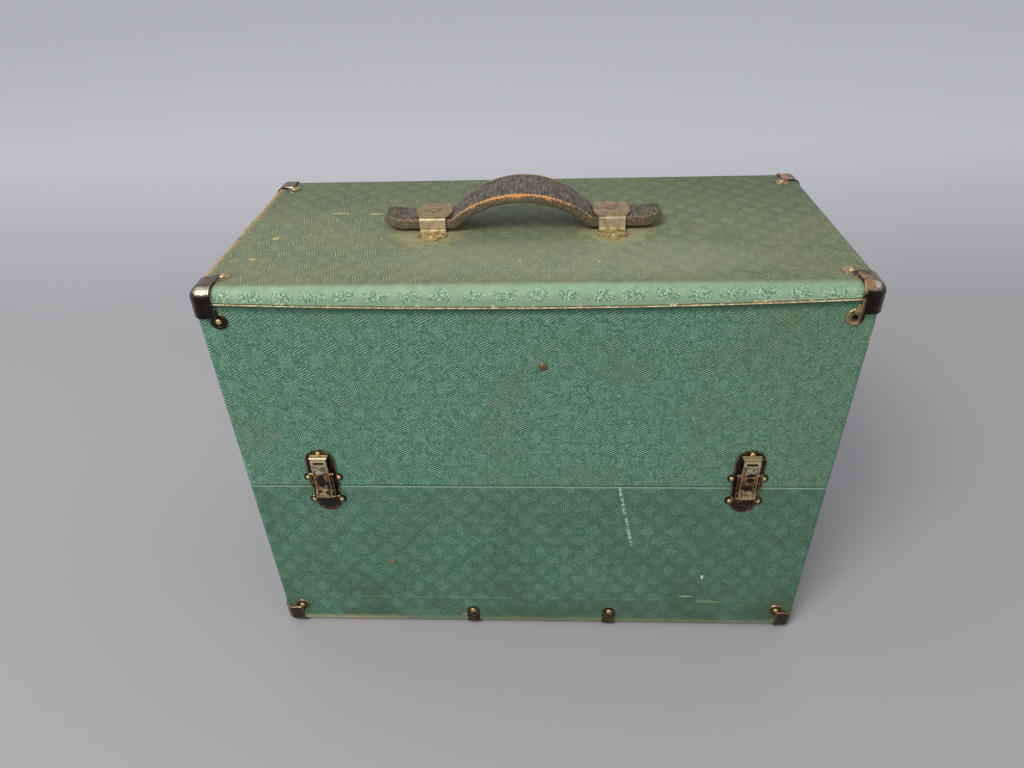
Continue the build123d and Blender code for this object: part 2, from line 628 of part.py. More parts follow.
for name, x in latches.items():
    frame = latch_frame(x)
    parts[f"{name}_latch_keeper"] = frame * keeper()
    parts[f"{name}_latch_base_plate"] = frame * latch_base_plate()
    parts[f"{name}_latch_link"] = frame * latch_link()
    parts[f"{name}_latch_lever"] = frame * latch_lever()
    link_pin = cross_pin(LINK_PIVOT_H, LINK_PIVOT_OUT, EAR_IN + EAR_T)
    lever_pin = cross_pin(LEVER_PIVOT_H, LEVER_PIVOT_OUT, ARM_OUT)
    parts[f"{name}_latch_link_pin"] = frame * link_pin
    parts[f"{name}_latch_lever_pin"] = frame * lever_pin
for name, x in loops.items():
    parts[f"{name}_handle_loop"] = handle_loop(x, -1 if name == "left" else 1)
leather = strap()
parts["left_handle_end"] = leather & span(-FAR, LOOP_LEFT_X, -FAR, FAR, 0, FAR)
parts["handle_grip"] = leather & span(LOOP_LEFT_X, LOOP_RIGHT_X, -FAR, FAR, 0, FAR)
parts["right_handle_end"] = leather & span(LOOP_RIGHT_X, FAR, -FAR, FAR, 0, FAR)

for name, piece in parts.items():
    export_step(piece, f"parts/{name}.step")
print(len(parts), "parts written")
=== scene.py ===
from math import cos, pi, radians, sin, sqrt

import bmesh
import bpy
from mathutils import Matrix, Vector


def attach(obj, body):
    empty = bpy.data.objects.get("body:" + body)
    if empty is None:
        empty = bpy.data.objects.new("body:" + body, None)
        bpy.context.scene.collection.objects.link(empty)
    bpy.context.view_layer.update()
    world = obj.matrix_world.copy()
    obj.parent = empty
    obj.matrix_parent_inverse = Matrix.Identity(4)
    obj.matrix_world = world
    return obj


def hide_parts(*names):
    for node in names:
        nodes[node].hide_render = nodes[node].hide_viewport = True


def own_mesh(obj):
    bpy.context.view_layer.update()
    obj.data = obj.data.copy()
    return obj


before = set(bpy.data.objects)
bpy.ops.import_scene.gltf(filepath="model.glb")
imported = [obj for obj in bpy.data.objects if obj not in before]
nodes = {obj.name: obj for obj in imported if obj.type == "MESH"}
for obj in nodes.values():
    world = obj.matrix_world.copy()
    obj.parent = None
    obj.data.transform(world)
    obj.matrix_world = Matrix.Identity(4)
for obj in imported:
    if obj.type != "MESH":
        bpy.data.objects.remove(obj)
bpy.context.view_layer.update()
MM = 0.001


# Camera
# It looks down on the case from a little over half a metre in front, as the photograph does,
# with a lens wide enough for the uprights to lean together.
lens = bpy.data.cameras.new("camera")
lens.lens = 25.41
lens.sensor_width = 36.0
lens.clip_start = 0.01
camera = bpy.data.objects.new("camera", lens)
camera.location = (0.0117, -0.5244, 0.5513)
camera.rotation_euler = (radians(55.493), radians(1.731), radians(2.263))
bpy.context.scene.collection.objects.link(camera)
bpy.context.scene.camera = camera


# Floor and light
# A plain pale sheet under the case, lit by an even sky of white cloth and one wide soft lamp
# above the front left corner. The sheet is painted paler towards the back, as painted light.
class Finish:
    """One surface finish, put together node by node."""

    def __init__(self, name):
        self.material = bpy.data.materials.new(name)
        self.material.use_nodes = True
        self.nodes = self.material.node_tree.nodes
        self.links = self.material.node_tree.links
        self.shader = self.nodes["Principled BSDF"]
        self.spot = self.nodes.new("ShaderNodeTexCoord").outputs["Object"]

    def put(self, socket, value):
        if isinstance(value, bpy.types.NodeSocket):
            self.links.new(value, socket)
        elif value is not None:
            socket.default_value = value

    def add(self, kind, *values, **settings):
        node = self.nodes.new(kind)
        for key, value in settings.items():
            setattr(node, key, value)
        for socket, value in zip(node.inputs, values):
            self.put(socket, value)
        return node

    def sum(self, operation, *values):
        return self.add("ShaderNodeMath", *values, operation=operation).outputs[0]

    def times(self, value, *factors):
        for factor in factors:
            value = self.sum("MULTIPLY", value, factor)
        return value

    def over(self, value, divisor):
        return self.sum("DIVIDE", value, divisor)

    def plus(self, value, other):
        return self.sum("ADD", value, other)

    def minus(self, value, other):
        return self.sum("SUBTRACT", value, other)

    def scaled(self, value, factor, more):
        """value times factor, plus more."""
        return self.sum("MULTIPLY_ADD", value, factor, more)

    def size(self, value):
        """value without its sign."""
        return self.sum("ABSOLUTE", value)

    def squares(self, first, second):
        """The square of the distance that has these two legs."""
        return self.plus(self.times(first, first), self.times(second, second))

    def uneven(self, value, cloud, amount):
        """value pushed up and down by half of this amount, so that edges drawn from it tear."""
        return self.scaled(cloud, amount, self.minus(value, amount / 2))

    def step(self, value, low, high):
        """0 up to low and 1 from high on, or the other way round, with a soft slope between."""
        kind = "ShaderNodeMapRange"
        return self.add(kind, value, low, high, interpolation_type="SMOOTHSTEP").outputs[0]

    def split(self, vector):
        return self.add("ShaderNodeSeparateXYZ", vector).outputs

    def facing(self):
        """Which way the surface faces."""
        return self.split(self.nodes["Texture Coordinate"].outputs["Normal"])

    def place(self):
        """Where on the piece, in millimetres."""
        return self.split(self.stretch((1, 1, 1)))

    def stretch(self, scale, shift=(0, 0, 0)):
        """The place on the piece, in millimetres times scale, moved by shift."""
        factors = [s / MM for s in scale]
        node = self.add("ShaderNodeVectorMath", self.spot, factors, shift, operation="MULTIPLY_ADD")
        return node.outputs[0]

    def cloud(self, size, seed=0, detail=2.0, roughness=0.5, scale=(1, 1, 1)):
        """Soft blotches of about this size in millimetres, from 0 to 1."""
        where = self.stretch(scale, (seed * 17.3, seed * 9.1, seed * 5.7))
        node = self.add("ShaderNodeTexNoise", where)
        self.put(node.inputs["Scale"], 1 / size)
        self.put(node.inputs["Detail"], detail)
        self.put(node.inputs["Roughness"], roughness)
        return node.outputs[0]

    def between(self, value, low, low_full, high_full, high):
        """1 from low_full to high_full, fading to 0 at low and high."""
        return self.times(self.step(value, low, low_full), self.step(value, high, high_full))

    def mix(self, share, first, second):
        """The first colour where share is 0 and the second where it is 1."""
        node = self.add("ShaderNodeMix", data_type="RGBA")
        self.put(node.inputs[0], share)
        self.put(node.inputs[6], first)
        self.put(node.inputs[7], second)
        return node.outputs[2]

    def blend(self, share, first, second):
        """As mix, for numbers."""
        node = self.add("ShaderNodeMix", share, data_type="FLOAT")
        self.put(node.inputs[2], first)
        self.put(node.inputs[3], second)
        return node.outputs[0]

    def relief(self, height, depth):
        """Raises the surface by height times depth in millimetres."""
        node = self.add("ShaderNodeBump")
        node.inputs["Distance"].default_value = depth * MM
        node.inputs["Strength"].default_value = 1.0
        self.put(node.inputs["Height"], height)
        self.put(self.shader.inputs["Normal"], node.outputs[0])

    def coat(self, colour, roughness, metallic=0.0, specular=0.5):
        self.put(self.shader.inputs["Base Color"], colour)
        self.put(self.shader.inputs["Roughness"], roughness)
        self.put(self.shader.inputs["Metallic"], metallic)
        self.shader.inputs["Specular IOR Level"].default_value = specular
        return self


def shade(red, green, blue):
    """A colour as a painter's chart gives it, from 0 to 255, as light."""
    light = []
    for value in (red, green, blue):
        value = value / 255
        light.append(value / 12.92 if value <= 0.04045 else ((value + 0.055) / 1.055) ** 2.4)
    return (*light, 1.0)


def make_piece(bm, name, finish, smooth=True, sharp=40.0):
    """Turns a finished bmesh into an object in this finish."""
    bmesh.ops.recalc_face_normals(bm, faces=bm.faces)
    mesh = bpy.data.meshes.new(name)
    bm.to_mesh(mesh)
    bm.free()
    for face in mesh.polygons:
        face.use_smooth = smooth
    if smooth:
        mesh.set_sharp_from_angle(angle=radians(sharp))
    mesh.materials.append(finish.material)
    made = bpy.data.objects.new(name, mesh)
    bpy.context.scene.collection.objects.link(made)
    return made


sheet_finish = Finish("pale floor")
mottle = sheet_finish.cloud(900.0, detail=1.0)
near_sheet = sheet_finish.mix(mottle, shade(156, 155, 158), shade(172, 171, 175))
# Painted light: the sheet is painted paler towards the back.
far_painted_light = sheet_finish.step(sheet_finish.split(sheet_finish.spot)[1], 0.35, 1.4)
sheet_finish.coat(sheet_finish.mix(far_painted_light, near_sheet, shade(208, 209, 216)), 0.9, specular=0.2)
bm = bmesh.new()
bmesh.ops.create_grid(bm, x_segments=8, y_segments=8, size=8.0)
floor = make_piece(bm, "floor", sheet_finish)

sky = bpy.data.worlds.new("sky")
sky.use_nodes = True
sky_nodes = sky.node_tree.nodes
sky_light = sky_nodes["Background"]
sky_light.inputs["Color"].default_value = (0.97, 0.985, 1.0, 1.0)
sky_light.inputs["Strength"].default_value = 0.66
seen_sky = sky_nodes.new("ShaderNodeBackground")
seen_sky.inputs["Color"].default_value = shade(184, 184, 190)
rays = sky_nodes.new("ShaderNodeLightPath")
either = sky_nodes.new("ShaderNodeMixShader")
sky.node_tree.links.new(rays.outputs["Is Camera Ray"], either.inputs[0])
sky.node_tree.links.new(sky_light.outputs[0], either.inputs[1])
sky.node_tree.links.new(seen_sky.outputs[0], either.inputs[2])
sky.node_tree.links.new(either.outputs[0], sky_nodes["World Output"].inputs["Surface"])
bpy.context.scene.world = sky


def soft_lamp(name, place, aim, size, power, colour):
    light = bpy.data.lights.new(name, "AREA")
    light.shape = "DISK"
    light.size = size
    light.energy = power
    light.color = colour
    lamp = bpy.data.objects.new(name, light)
    lamp.location = place
    lamp.rotation_euler = (Vector(aim) - Vector(place)).to_track_quat("-Z", "Y").to_euler()
    bpy.context.scene.collection.objects.link(lamp)


soft_lamp("main lamp", (-1.1, -1.5, 2.3), (0, 0, 0.2), 1.1, 46.0, (1.0, 0.985, 0.96))
bpy.context.scene.view_settings.view_transform = "Standard"


# Plywood panels
# Each half is a box of 8 mm birch ply, glued and pinned at its corners. Only the plies' edges
# show, at the rims, when the lid is open.
def ply_finish(name, thickness_axis):
    finish = Finish(name)
    along_grain = (1.0, 0.08, 1.0) if thickness_axis == "x" else (0.08, 1.0, 1.0)
    grain = finish.cloud(1.6, detail=4.0, scale=along_grain)
    wood = finish.mix(grain, shade(150, 112, 70), shade(196, 160, 112))
    depth = finish.split(finish.spot)["xyz".index(thickness_axis)]
    plies = finish.sum("SINE", finish.times(depth, 2 * pi / (3.2 * MM)))
    wood = finish.mix(finish.step(plies, -0.3, 0.3), wood, shade(128, 92, 56))
    finish.relief(grain, 0.15)
    return finish.coat(wood, 0.75, specular=0.3)


def dress(node, finish):
    """Gives a CAD node this finish."""
    for material_slot in nodes[node].material_slots:
        material_slot.material = finish.material


front_ply = ply_finish("ply front and back", "y")
end_ply = ply_finish("ply ends", "x")
flat_ply = ply_finish("ply top and bottom", "z")
for half in ("base", "lid"):
    dress(f"{half}_front_panel", front_ply)
    dress(f"{half}_back_panel", front_ply)
    dress(f"{half}_left_panel", end_ply)
    dress(f"{half}_right_panel", end_ply)
dress("base_bottom_panel", flat_ply)
dress("lid_top_panel", flat_ply)


# Lining and guide strips
# Both halves are lined with a brown fibre paper pasted to the wood, and thin hardwood strips
# stand inside the base's rim to guide the lid.
lining_finish = Finish("lining paper")
fibres = lining_finish.cloud(1.2, detail=5.0, roughness=0.7, scale=(1.0, 1.0, 0.4))
stains = lining_finish.cloud(70.0, seed=3, detail=3.0)
paper = lining_finish.mix(fibres, shade(96, 84, 70), shade(128, 114, 96))
paper = lining_finish.mix(lining_finish.step(stains, 0.5, 0.8), paper, shade(84, 72, 58))
lining_finish.relief(fibres, 0.2)
lining_finish.coat(paper, 0.9, specular=0.2)
dress("base_lining", lining_finish)
dress("lid_lining", lining_finish)

strip_finish = Finish("guide strip")
strip_grain = strip_finish.cloud(1.2, seed=5, detail=4.0, scale=(0.06, 0.06, 1.0))
strip_wood = strip_finish.mix(strip_grain, shade(122, 84, 50), shade(166, 124, 80))
strip_finish.relief(strip_grain, 0.1)
strip_finish.coat(strip_wood, 0.6, specular=0.35)
dress("base_rim_tongue", strip_finish)


# Cloth on the base and the lid
# A heavy green cloth coated and embossed with patches of short slanting ribs, glued round each
# half. It is rubbed pale along the rims, with a painted highlight added there, and has soiled
# blotches; painted shade darkens it towards the bottom and the right, makes a dark line just
# above the seam and falls below the lap of the top sheet.
def rib_patch(finish, across, up, pitch, ragged, patch, dotted):
    """One kind of patch all over the cloth: returns its ribs or beads and the room it fills."""
    centre, angle, lean, length, stack, rib = patch
    half_x, half_z = pitch[0] / 2, pitch[1] / 2
    right = finish.sum("WRAP", finish.minus(across, centre[0]), half_x, -half_x)
    above = finish.sum("WRAP", finish.minus(up, centre[1]), half_z, -half_z)
    c, s = cos(radians(angle)), sin(radians(angle))
    along = finish.scaled(right, c, finish.times(above, s))
    over = finish.scaled(right, -s, finish.times(above, c))
    leaned = finish.scaled(over, lean, along)
    wave = finish.sum("COSINE", finish.times(over, 2 * pi / rib))
    if dotted:
        cross_wave = finish.sum("COSINE", finish.times(along, 2 * pi / (rib * 1.2)))
        wave = finish.scaled(finish.times(wave, cross_wave), 1.2, 0.2)
    inside = finish.plus(finish.size(leaned), ragged)
    within = finish.plus(finish.size(over), ragged)
    room = finish.times(finish.step(inside, length / 2 + 0.9, length / 2 - 0.6),
                        finish.step(within, stack / 2 + 0.7, stack / 2 - 0.5))
    return finish.times(finish.step(wave, -0.5, 0.9), room), room


def green_cloth(name, seed, pitch, rising, level, tones, weights):
    """The embossed cloth: returns the finish, its colour, its relief and the place on it.

    rising and level give (centre, angle, lean, length, stack, rib) of the two kinds of patch.
    weights are how high the ground, its grain, a patch and a patch's ribs stand."""
    ground_h, grain_h, patch_h, rib_h = weights
    finish = Finish(name)
    facing = finish.facing()
    x, y, z = finish.place()
    on_end = finish.sum("GREATER_THAN", finish.size(facing[0]), 0.7)
    on_flat = finish.sum("GREATER_THAN", finish.size(facing[2]), 0.7)
    wobble = finish.scaled(finish.cloud(5.0, seed, detail=2.0), 1.2, -0.6)
    drift = finish.scaled(finish.cloud(60.0, seed + 4), 5.0, -2.5)
    across = finish.plus(finish.plus(finish.blend(on_end, x, y), wobble), drift)
    up = finish.plus(finish.blend(on_flat, z, y), wobble)
    ragged = finish.scaled(finish.cloud(2.6, seed + 7, detail=2.0), 5.4, -2.7)
    first, first_room = rib_patch(finish, across, up, pitch, ragged, rising, False)
    second, second_room = rib_patch(finish, across, up, pitch, ragged, level, True)
    ribs = finish.sum("MAXIMUM", first, second)
    room = finish.sum("MAXIMUM", first_room, second_room)
    faded = finish.step(finish.cloud(18.0, seed + 1, detail=3.0), 0.3, 0.56)
    room = finish.times(room, finish.scaled(faded, 0.66, 0.34))
    pebble = finish.step(finish.cloud(1.05, seed + 2, detail=2.0, roughness=0.6), 0.36, 0.64)
    bead = finish.step(finish.cloud(0.8, seed + 5, detail=1.0), 0.36, 0.56)
    soft = finish.scaled(pebble, grain_h, ground_h)
    broken = finish.times(ribs, finish.scaled(bead, 0.34, 0.66))
    beaded = finish.scaled(broken, rib_h, finish.scaled(pebble, 0.14, patch_h))
    mottle = finish.scaled(finish.cloud(4.5, seed + 6, detail=3.0), 0.36, -0.18)
    height = finish.plus(finish.blend(room, soft, beaded), mottle)
    broad = finish.cloud(85.0, seed + 3, detail=3.0)
    low, middle, high = tones
    # The colour follows the relief: paler on the crests, partly worn pigment and partly a painted
    # highlight, and dark in the hollows.
    ground = finish.mix(finish.step(height, 0.0, 0.5), low, middle)
    colour = finish.mix(finish.step(height, 0.42, 1.0), ground, high)
    colour = finish.mix(finish.times(broad, 0.22), colour, shade(112, 140, 112))
    return finish, colour, height, (x, y, z)


def spotted(cloth, colour, along, up, spots, fray, amount, edge, where):
    """Paints spots with torn edges, each (centre, half sizes, tone, strength), kept to where."""
    for (place, height), (half_w, half_h), tone, strength in spots:
        aside = cloth.over(cloth.minus(along, place), half_w)
        above = cloth.over(cloth.minus(up, height), half_h)
        far = cloth.uneven(cloth.squares(aside, above), fray, amount)
        spot = cloth.times(cloth.step(far, *edge), strength, where)
        colour = cloth.mix(spot, colour, tone)
    return colour


def close_cloth(finish, colour, height, depth):
    finish.relief(height, depth)
    finish.coat(colour, 0.62, specular=0.35)


SEAM_Z = 167.7
ON_FRONT = (-106.0, -107.0)
RIDGE_Z = 35.0
BASE_SPOTS = (
    ((141.5, 65.6), (1.0, 2.2), shade(232, 232, 214), 0.95),
    ((-67.8, 13.6), (3.2, 1.2), shade(92, 66, 40), 0.9),
    ((-62.4, 13.0), (3.4, 0.6), shade(196, 176, 120), 0.8),
    ((130.0, 40.5), (5.5, 0.9), shade(176, 190, 150), 0.8),
    ((150.0, 34.0), (12.0, 1.2), shade(150, 164, 118), 0.6),
)
cloth, colour, height, (x, y, z) = green_cloth(
    "base cloth", 11, pitch=(21.5, 23.4),
    rising=((-113.1, 154.6), 31, 0.25, 10.0, 10.4, 2.0),
    level=((-102.3, 142.9), 52, -0.2, 10.0, 10.0, 1.9),
    tones=(shade(36, 78, 59), shade(78, 120, 99), shade(136, 180, 155)),
    weights=(0.16, 0.44, 0.02, 0.96))
on_front = cloth.step(y, *ON_FRONT)
low_down = cloth.step(z, 75.0, 6.0)
# Soiled blotches, and painted shade that darkens the front towards the bottom and the right.
grime_and_painted_shade = cloth.step(cloth.cloud(40.0, 21, detail=4.0), 0.35, 0.7)
grime_and_painted_shade = cloth.times(grime_and_painted_shade, cloth.scaled(low_down, 0.55, 0.2))
grime_and_painted_shade = cloth.plus(grime_and_painted_shade, cloth.times(cloth.step(x, 20.0, 210.0), 0.16))
colour = cloth.mix(grime_and_painted_shade, colour, shade(66, 86, 66))
# Pale band along the rim: rubbed wear, with a painted highlight on the rounded edge.
rim_wear_and_highlight = cloth.times(cloth.step(z, SEAM_Z - 2.1, SEAM_Z - 0.4), 0.85)
colour = cloth.mix(rim_wear_and_highlight, colour, shade(150, 180, 158))

scratch_line = cloth.size(cloth.scaled(z, 0.205, cloth.minus(x, 101.0)))
scratch_wave = cloth.size(cloth.scaled(cloth.cloud(9.0, 31), 4.0, -2.0))
scratch = cloth.step(cloth.plus(scratch_line, scratch_wave), 2.0, 0.6)
scratch = cloth.times(scratch, cloth.step(z, 99.0, 108.0),
                      cloth.step(cloth.cloud(3.0, 33, detail=3.0), 0.38, 0.54), on_front, 0.85)
colour = cloth.mix(scratch, colour, shade(188, 214, 192))
fray = cloth.cloud(2.0, 35, detail=3.0)
colour = spotted(cloth, colour, x, z, BASE_SPOTS, fray, 2.0, (1.2, 0.7), on_front)

ridge = cloth.step(cloth.size(cloth.minus(z, RIDGE_Z)), 1.3, 0.3)
ridge = cloth.times(ridge, cloth.step(cloth.cloud(14.0, 37, detail=3.0), 0.35, 0.65))
colour = cloth.mix(cloth.times(ridge, 0.4), colour, shade(118, 152, 118))
# Yellowed along the bottom at the left, and widened there by painted light where the lower edge
# turns down.
yellowing_and_painted_light = cloth.scaled(cloth.cloud(14.0, 39, detail=4.0), 5.0, cloth.minus(z, 2.5))
yellowing_and_painted_light = cloth.times(cloth.step(yellowing_and_painted_light, 13.0, 3.6),
                       cloth.scaled(cloth.step(x, -105.0, -150.0), 0.55, 0.35))
colour = cloth.mix(yellowing_and_painted_light, colour, shade(196, 184, 130))
close_cloth(cloth, colour, cloth.plus(height, cloth.times(ridge, 1.2)), 0.3)
dress("base_covering", cloth)


def cut_height(cloth, x):
    """How high the cut edge of the upper sheet hangs: lowest in the middle of the front."""
    bow = cloth.times(x, x, 5.0 / 225.0 ** 2)
    return cloth.plus(bow, 324.2)


cloth, colour, height, (x, y, z) = green_cloth(
    "lid cloth", 41, pitch=(21.6, 22.5),
    rising=((-203.0, 250.2), 30, 0.3, 10.4, 11.0, 1.75),
    level=((-192.2, 239.0), 17, -0.3, 10.4, 10.6, 1.7),
    tones=(shade(16, 64, 48), shade(86, 136, 113), shade(176, 222, 198)),
    weights=(0.2, 0.42, 0.0, 0.84))
# Soiled blotches, and painted shade that darkens the right.
grime_and_painted_shade = cloth.step(cloth.cloud(60.0, 51, detail=4.0), 0.45, 0.75)
grime_and_painted_shade = cloth.scaled(grime_and_painted_shade, 0.3, cloth.times(cloth.step(x, 20.0, 210.0), 0.22))
colour = cloth.mix(grime_and_painted_shade, colour, shade(98, 112, 76))
below_cut = cloth.minus(cut_height(cloth, x), z)
# Painted shadow on the front just below the cut edge of the lapped top sheet.
lap_painted_shadow = cloth.times(cloth.step(below_cut, 7.0, 0.8), cloth.step(y, *ON_FRONT), 0.8)
colour = cloth.mix(lap_painted_shadow, colour, shade(26, 56, 40))
# Painted shade: a dark line just above the seam.
seam_painted_shade = cloth.times(cloth.step(z, SEAM_Z + 1.9, SEAM_Z + 0.7), 0.75)
colour = cloth.mix(seam_painted_shade, colour, shade(44, 66, 48))
tear = cloth.times(cloth.between(z, 295.5, 297.0, 301.0, 303.0), cloth.step(x, 221.8, 223.4),
                   cloth.step(y, -98.0, -104.0),
                   cloth.step(cloth.cloud(2.4, 55, detail=4.0), 0.42, 0.52))
colour = cloth.mix(tear, colour, shade(206, 168, 104))
close_cloth(cloth, colour, height, 0.38)
dress("lid_covering", cloth)


# Cloth sheet over the top
# A second sheet of the same cloth, turned the other way, lies over the top and is glued down
# over the edges. Its cut edge runs across the front, tan where the bare canvas shows.
LOOPS = (("left", -74.2), ("right", 59.6))
GRIP_X = (LOOPS[0][1] + LOOPS[1][1]) / 2
LOOP_SPAN = (LOOPS[1][1] - LOOPS[0][1]) / 2
BARE = shade(208, 184, 126)
TOP_SPOTS = (
    ((-155.4, 27.8), (9, 1.6), BARE, 0.7),
    ((-125.7, 25.5), (7, 1.6), BARE, 0.7),
    ((-192.7, -21.3), (3.5, 2.5), BARE, 0.7),
    ((-198.5, -58.3), (3.5, 2.0), BARE, 0.7),
    ((-7.3, -64.8), (2.0, 2.0), BARE, 0.7),
    ((47.6, -67.8), (1.6, 1.6), BARE, 0.7),
)
cloth, colour, height, (x, y, z) = green_cloth(
    "top cloth", 61, pitch=(21.0, 20.8),
    rising=((11.1, -91.0), 104, 0.2, 10.0, 10.4, 1.8),
    level=((0.6, -80.6), 70, -0.2, 10.0, 10.0, 1.8),
    tones=(shade(46, 72, 52), shade(88, 110, 84), shade(170, 184, 148)),
    weights=(0.22, 0.42, -0.03, 1.04))
upward = cloth.step(z, 333.5, 338.3)
front = cloth.step(y, -100.0, -106.5)
mottled = cloth.step(cloth.cloud(34.0, 71, detail=5.0, roughness=0.6), 0.3, 0.62)
dust = cloth.times(cloth.scaled(mottled, 0.3, 0.16), upward)
colour = cloth.mix(dust, colour, shade(142, 132, 94))

# The rounded front edge: paler, partly worn and partly a painted highlight, and embossed with
# clusters of beads.
pale = cloth.times(cloth.step(y, -96.5, -103.5), cloth.step(z, 322.0, 327.0))
roll_tone = cloth.mix(cloth.cloud(6.0, 91, detail=4.0), shade(116, 152, 122), shade(168, 194, 162))
colour = cloth.mix(cloth.times(pale, 0.82), colour, roll_tone)
beside = cloth.over(cloth.sum("WRAP", cloth.minus(x, 5.0), 10.5, -10.5), 9.8)
above = cloth.over(cloth.minus(z, 332.8), 4.4)
cluster = cloth.uneven(cloth.squares(beside, above), cloth.cloud(4.0, 93, detail=3.0), 2.4)
cluster = cloth.times(cloth.step(cluster, 1.2, 0.2), pale)
beads = cloth.cloud(0.85, 95, detail=0.0)
pits = cloth.times(cluster, cloth.step(beads, 0.5, 0.64))
# Painted highlights: light specks on the raised beads between the pits.
painted_glints = cloth.times(cluster, cloth.step(beads, 0.46, 0.34))
colour = cloth.mix(cloth.times(cluster, 0.3), colour, shade(96, 142, 112))
colour = cloth.mix(cloth.times(pits, 0.76), colour, shade(50, 108, 80))
colour = cloth.mix(cloth.times(painted_glints, 0.54), colour, shade(212, 234, 208))
height = cloth.blend(pale, height, cloth.scaled(pits, -0.5, 0.6))

# Wear: yellowed round the handle's loops. Painted shade on the back and right. Paler in the middle
# of the front.
off_loop = cloth.minus(cloth.size(cloth.minus(x, GRIP_X)), 70.0)
halo = cloth.squares(cloth.over(off_loop, 34.0), cloth.over(cloth.minus(y, -3.0), 40.0))
halo = cloth.uneven(halo, cloth.cloud(7.0, 77, detail=4.0), 1.6)
halo = cloth.times(cloth.step(halo, 1.05, 0.3), 0.42)
colour = cloth.mix(halo, colour, shade(186, 170, 116))
# Painted shade: the top is dimmed towards the back and the right.
painted_shade_back_right = cloth.scaled(cloth.step(y, -20.0, 90.0), 0.42,
                      cloth.times(cloth.step(x, 20.0, 200.0), 0.2))
colour = cloth.mix(cloth.times(painted_shade_back_right, upward), colour, shade(56, 76, 55))
# The crests painted paler still: partly worn pigment, partly a painted highlight.
crests = cloth.times(cloth.step(height, 0.6, 1.0), upward, 0.36)
colour = cloth.mix(crests, colour, shade(176, 186, 152))
# Paler in the middle of the front.
rubbed = cloth.squares(cloth.over(cloth.minus(x, 30.0), 150.0),
                       cloth.over(cloth.plus(y, 62.0), 34.0))
rubbed = cloth.times(cloth.step(rubbed, 1.3, 0.2), upward, 0.2)
colour = cloth.mix(rubbed, colour, shade(166, 172, 146))
flecks = cloth.times(cloth.step(cloth.cloud(3.6, 73, detail=2.0), 0.735, 0.775), 0.7)
colour = cloth.mix(flecks, colour, shade(204, 184, 132))
fray = cloth.cloud(2.4, 99, detail=4.0)
colour = spotted(cloth, colour, x, y, TOP_SPOTS, fray, 3.0, (1.0, 0.4), upward)
end_rub = cloth.times(cloth.step(x, -217.5, -223.0),
                      cloth.step(cloth.cloud(12.0, 75, detail=4.0), 0.34, 0.48), 0.85)
colour = cloth.mix(end_rub, colour, shade(190, 152, 98))

# The cut edge: a line of painted shadow where it lifts, then raw threads with loose tufts.
frayed = cloth.scaled(cloth.cloud(9.0, 79, detail=4.0, roughness=0.6), 0.9, -0.45)
above_cut = cloth.plus(cloth.minus(z, cut_height(cloth, x)), frayed)
lift_painted_shadow = cloth.times(cloth.step(above_cut, 2.1, 1.4), front, 0.85)
colour = cloth.mix(lift_painted_shadow, colour, shade(66, 54, 30))
thread_tone = cloth.step(cloth.cloud(2.6, 80, detail=4.0), 0.36, 0.6)
threads = cloth.mix(thread_tone, shade(186, 160, 106), shade(240, 226, 184))
tufts = cloth.step(cloth.cloud(4.2, 97, detail=5.0, roughness=0.7), 0.56, 0.62)
tufts = cloth.times(tufts, cloth.step(above_cut, 3.4, 2.0), 0.8)
raw = cloth.sum("MAXIMUM", cloth.step(above_cut, 1.05, 0.75), tufts)
colour = cloth.mix(cloth.times(raw, front), colour, threads)
close_cloth(cloth, colour, height, 0.34)
dress("lid_top_cloth", cloth)


# Corner guards
# Eight caps pressed from thin steel, blackened, each with a rolled rim and three round lobes that
# are nailed to the case. Handling has rubbed their ribs down to copper and brass.
CASE_X = 225.0
CASE_Y = 107.5
UNDERSIDE = 2.2
CASE_TOP = 338.2
GUARD_REACH = (14.0, 19.5, 19.5)
CAP_PROUD = 2.1
CAP_ROUNDING = 8.4
RIM_PROUD = 2.2
RIM_ROUNDING = 8.3
RIM_W = 1.3
GUARD_LOBES = (((15.4, 22.0, 0.0), 2), ((15.4, 0.0, 22.0), 1), ((0.0, 22.0, 22.0), 0))
LOBE_DISH = ((6.5, -4.0), (6.5, 0.2), (6.0, 0.9), (5.2, 1.3), (4.5, 1.25), (3.5, 0.65), (2.6, 0.75))
NECK = ((0.0, 4.6, 1.2), (6.0, 3.9, 1.1), (9.5, 3.9, 0.9))
VOXEL = 0.4
SEAT_ROUNDING = 4.4


def skin(bm, rows):
    """Skins over rings of vertices that follow each other, and closes both ends."""
    for first, second in zip(rows, rows[1:]):
        for i in range(len(first)):
            j = (i + 1) % len(first)
            bm.faces.new((first[i], first[j], second[j], second[i]))
    bm.faces.new(rows[0][::-1])
    bm.faces.new(rows[-1])


def loft(bm, rings):
    skin(bm, [[bm.verts.new(point) for point in ring] for ring in rings])


def turned(bm, centre, out, profile, sides=24):
    """A turned shape about the line from centre along out; profile gives (radius, height)."""
    out = Vector(out).normalized()
    side = out.orthogonal().normalized()
    other = out.cross(side)
    rings = []
    for radius, height in profile:
        middle = Vector(centre) + out * height
        ring = []
        for i in range(sides):
            a = 2 * pi * i / sides
            ring.append((middle + (side * cos(a) + other * sin(a)) * radius) * MM)
        rings.append(ring)
    loft(bm, rings)


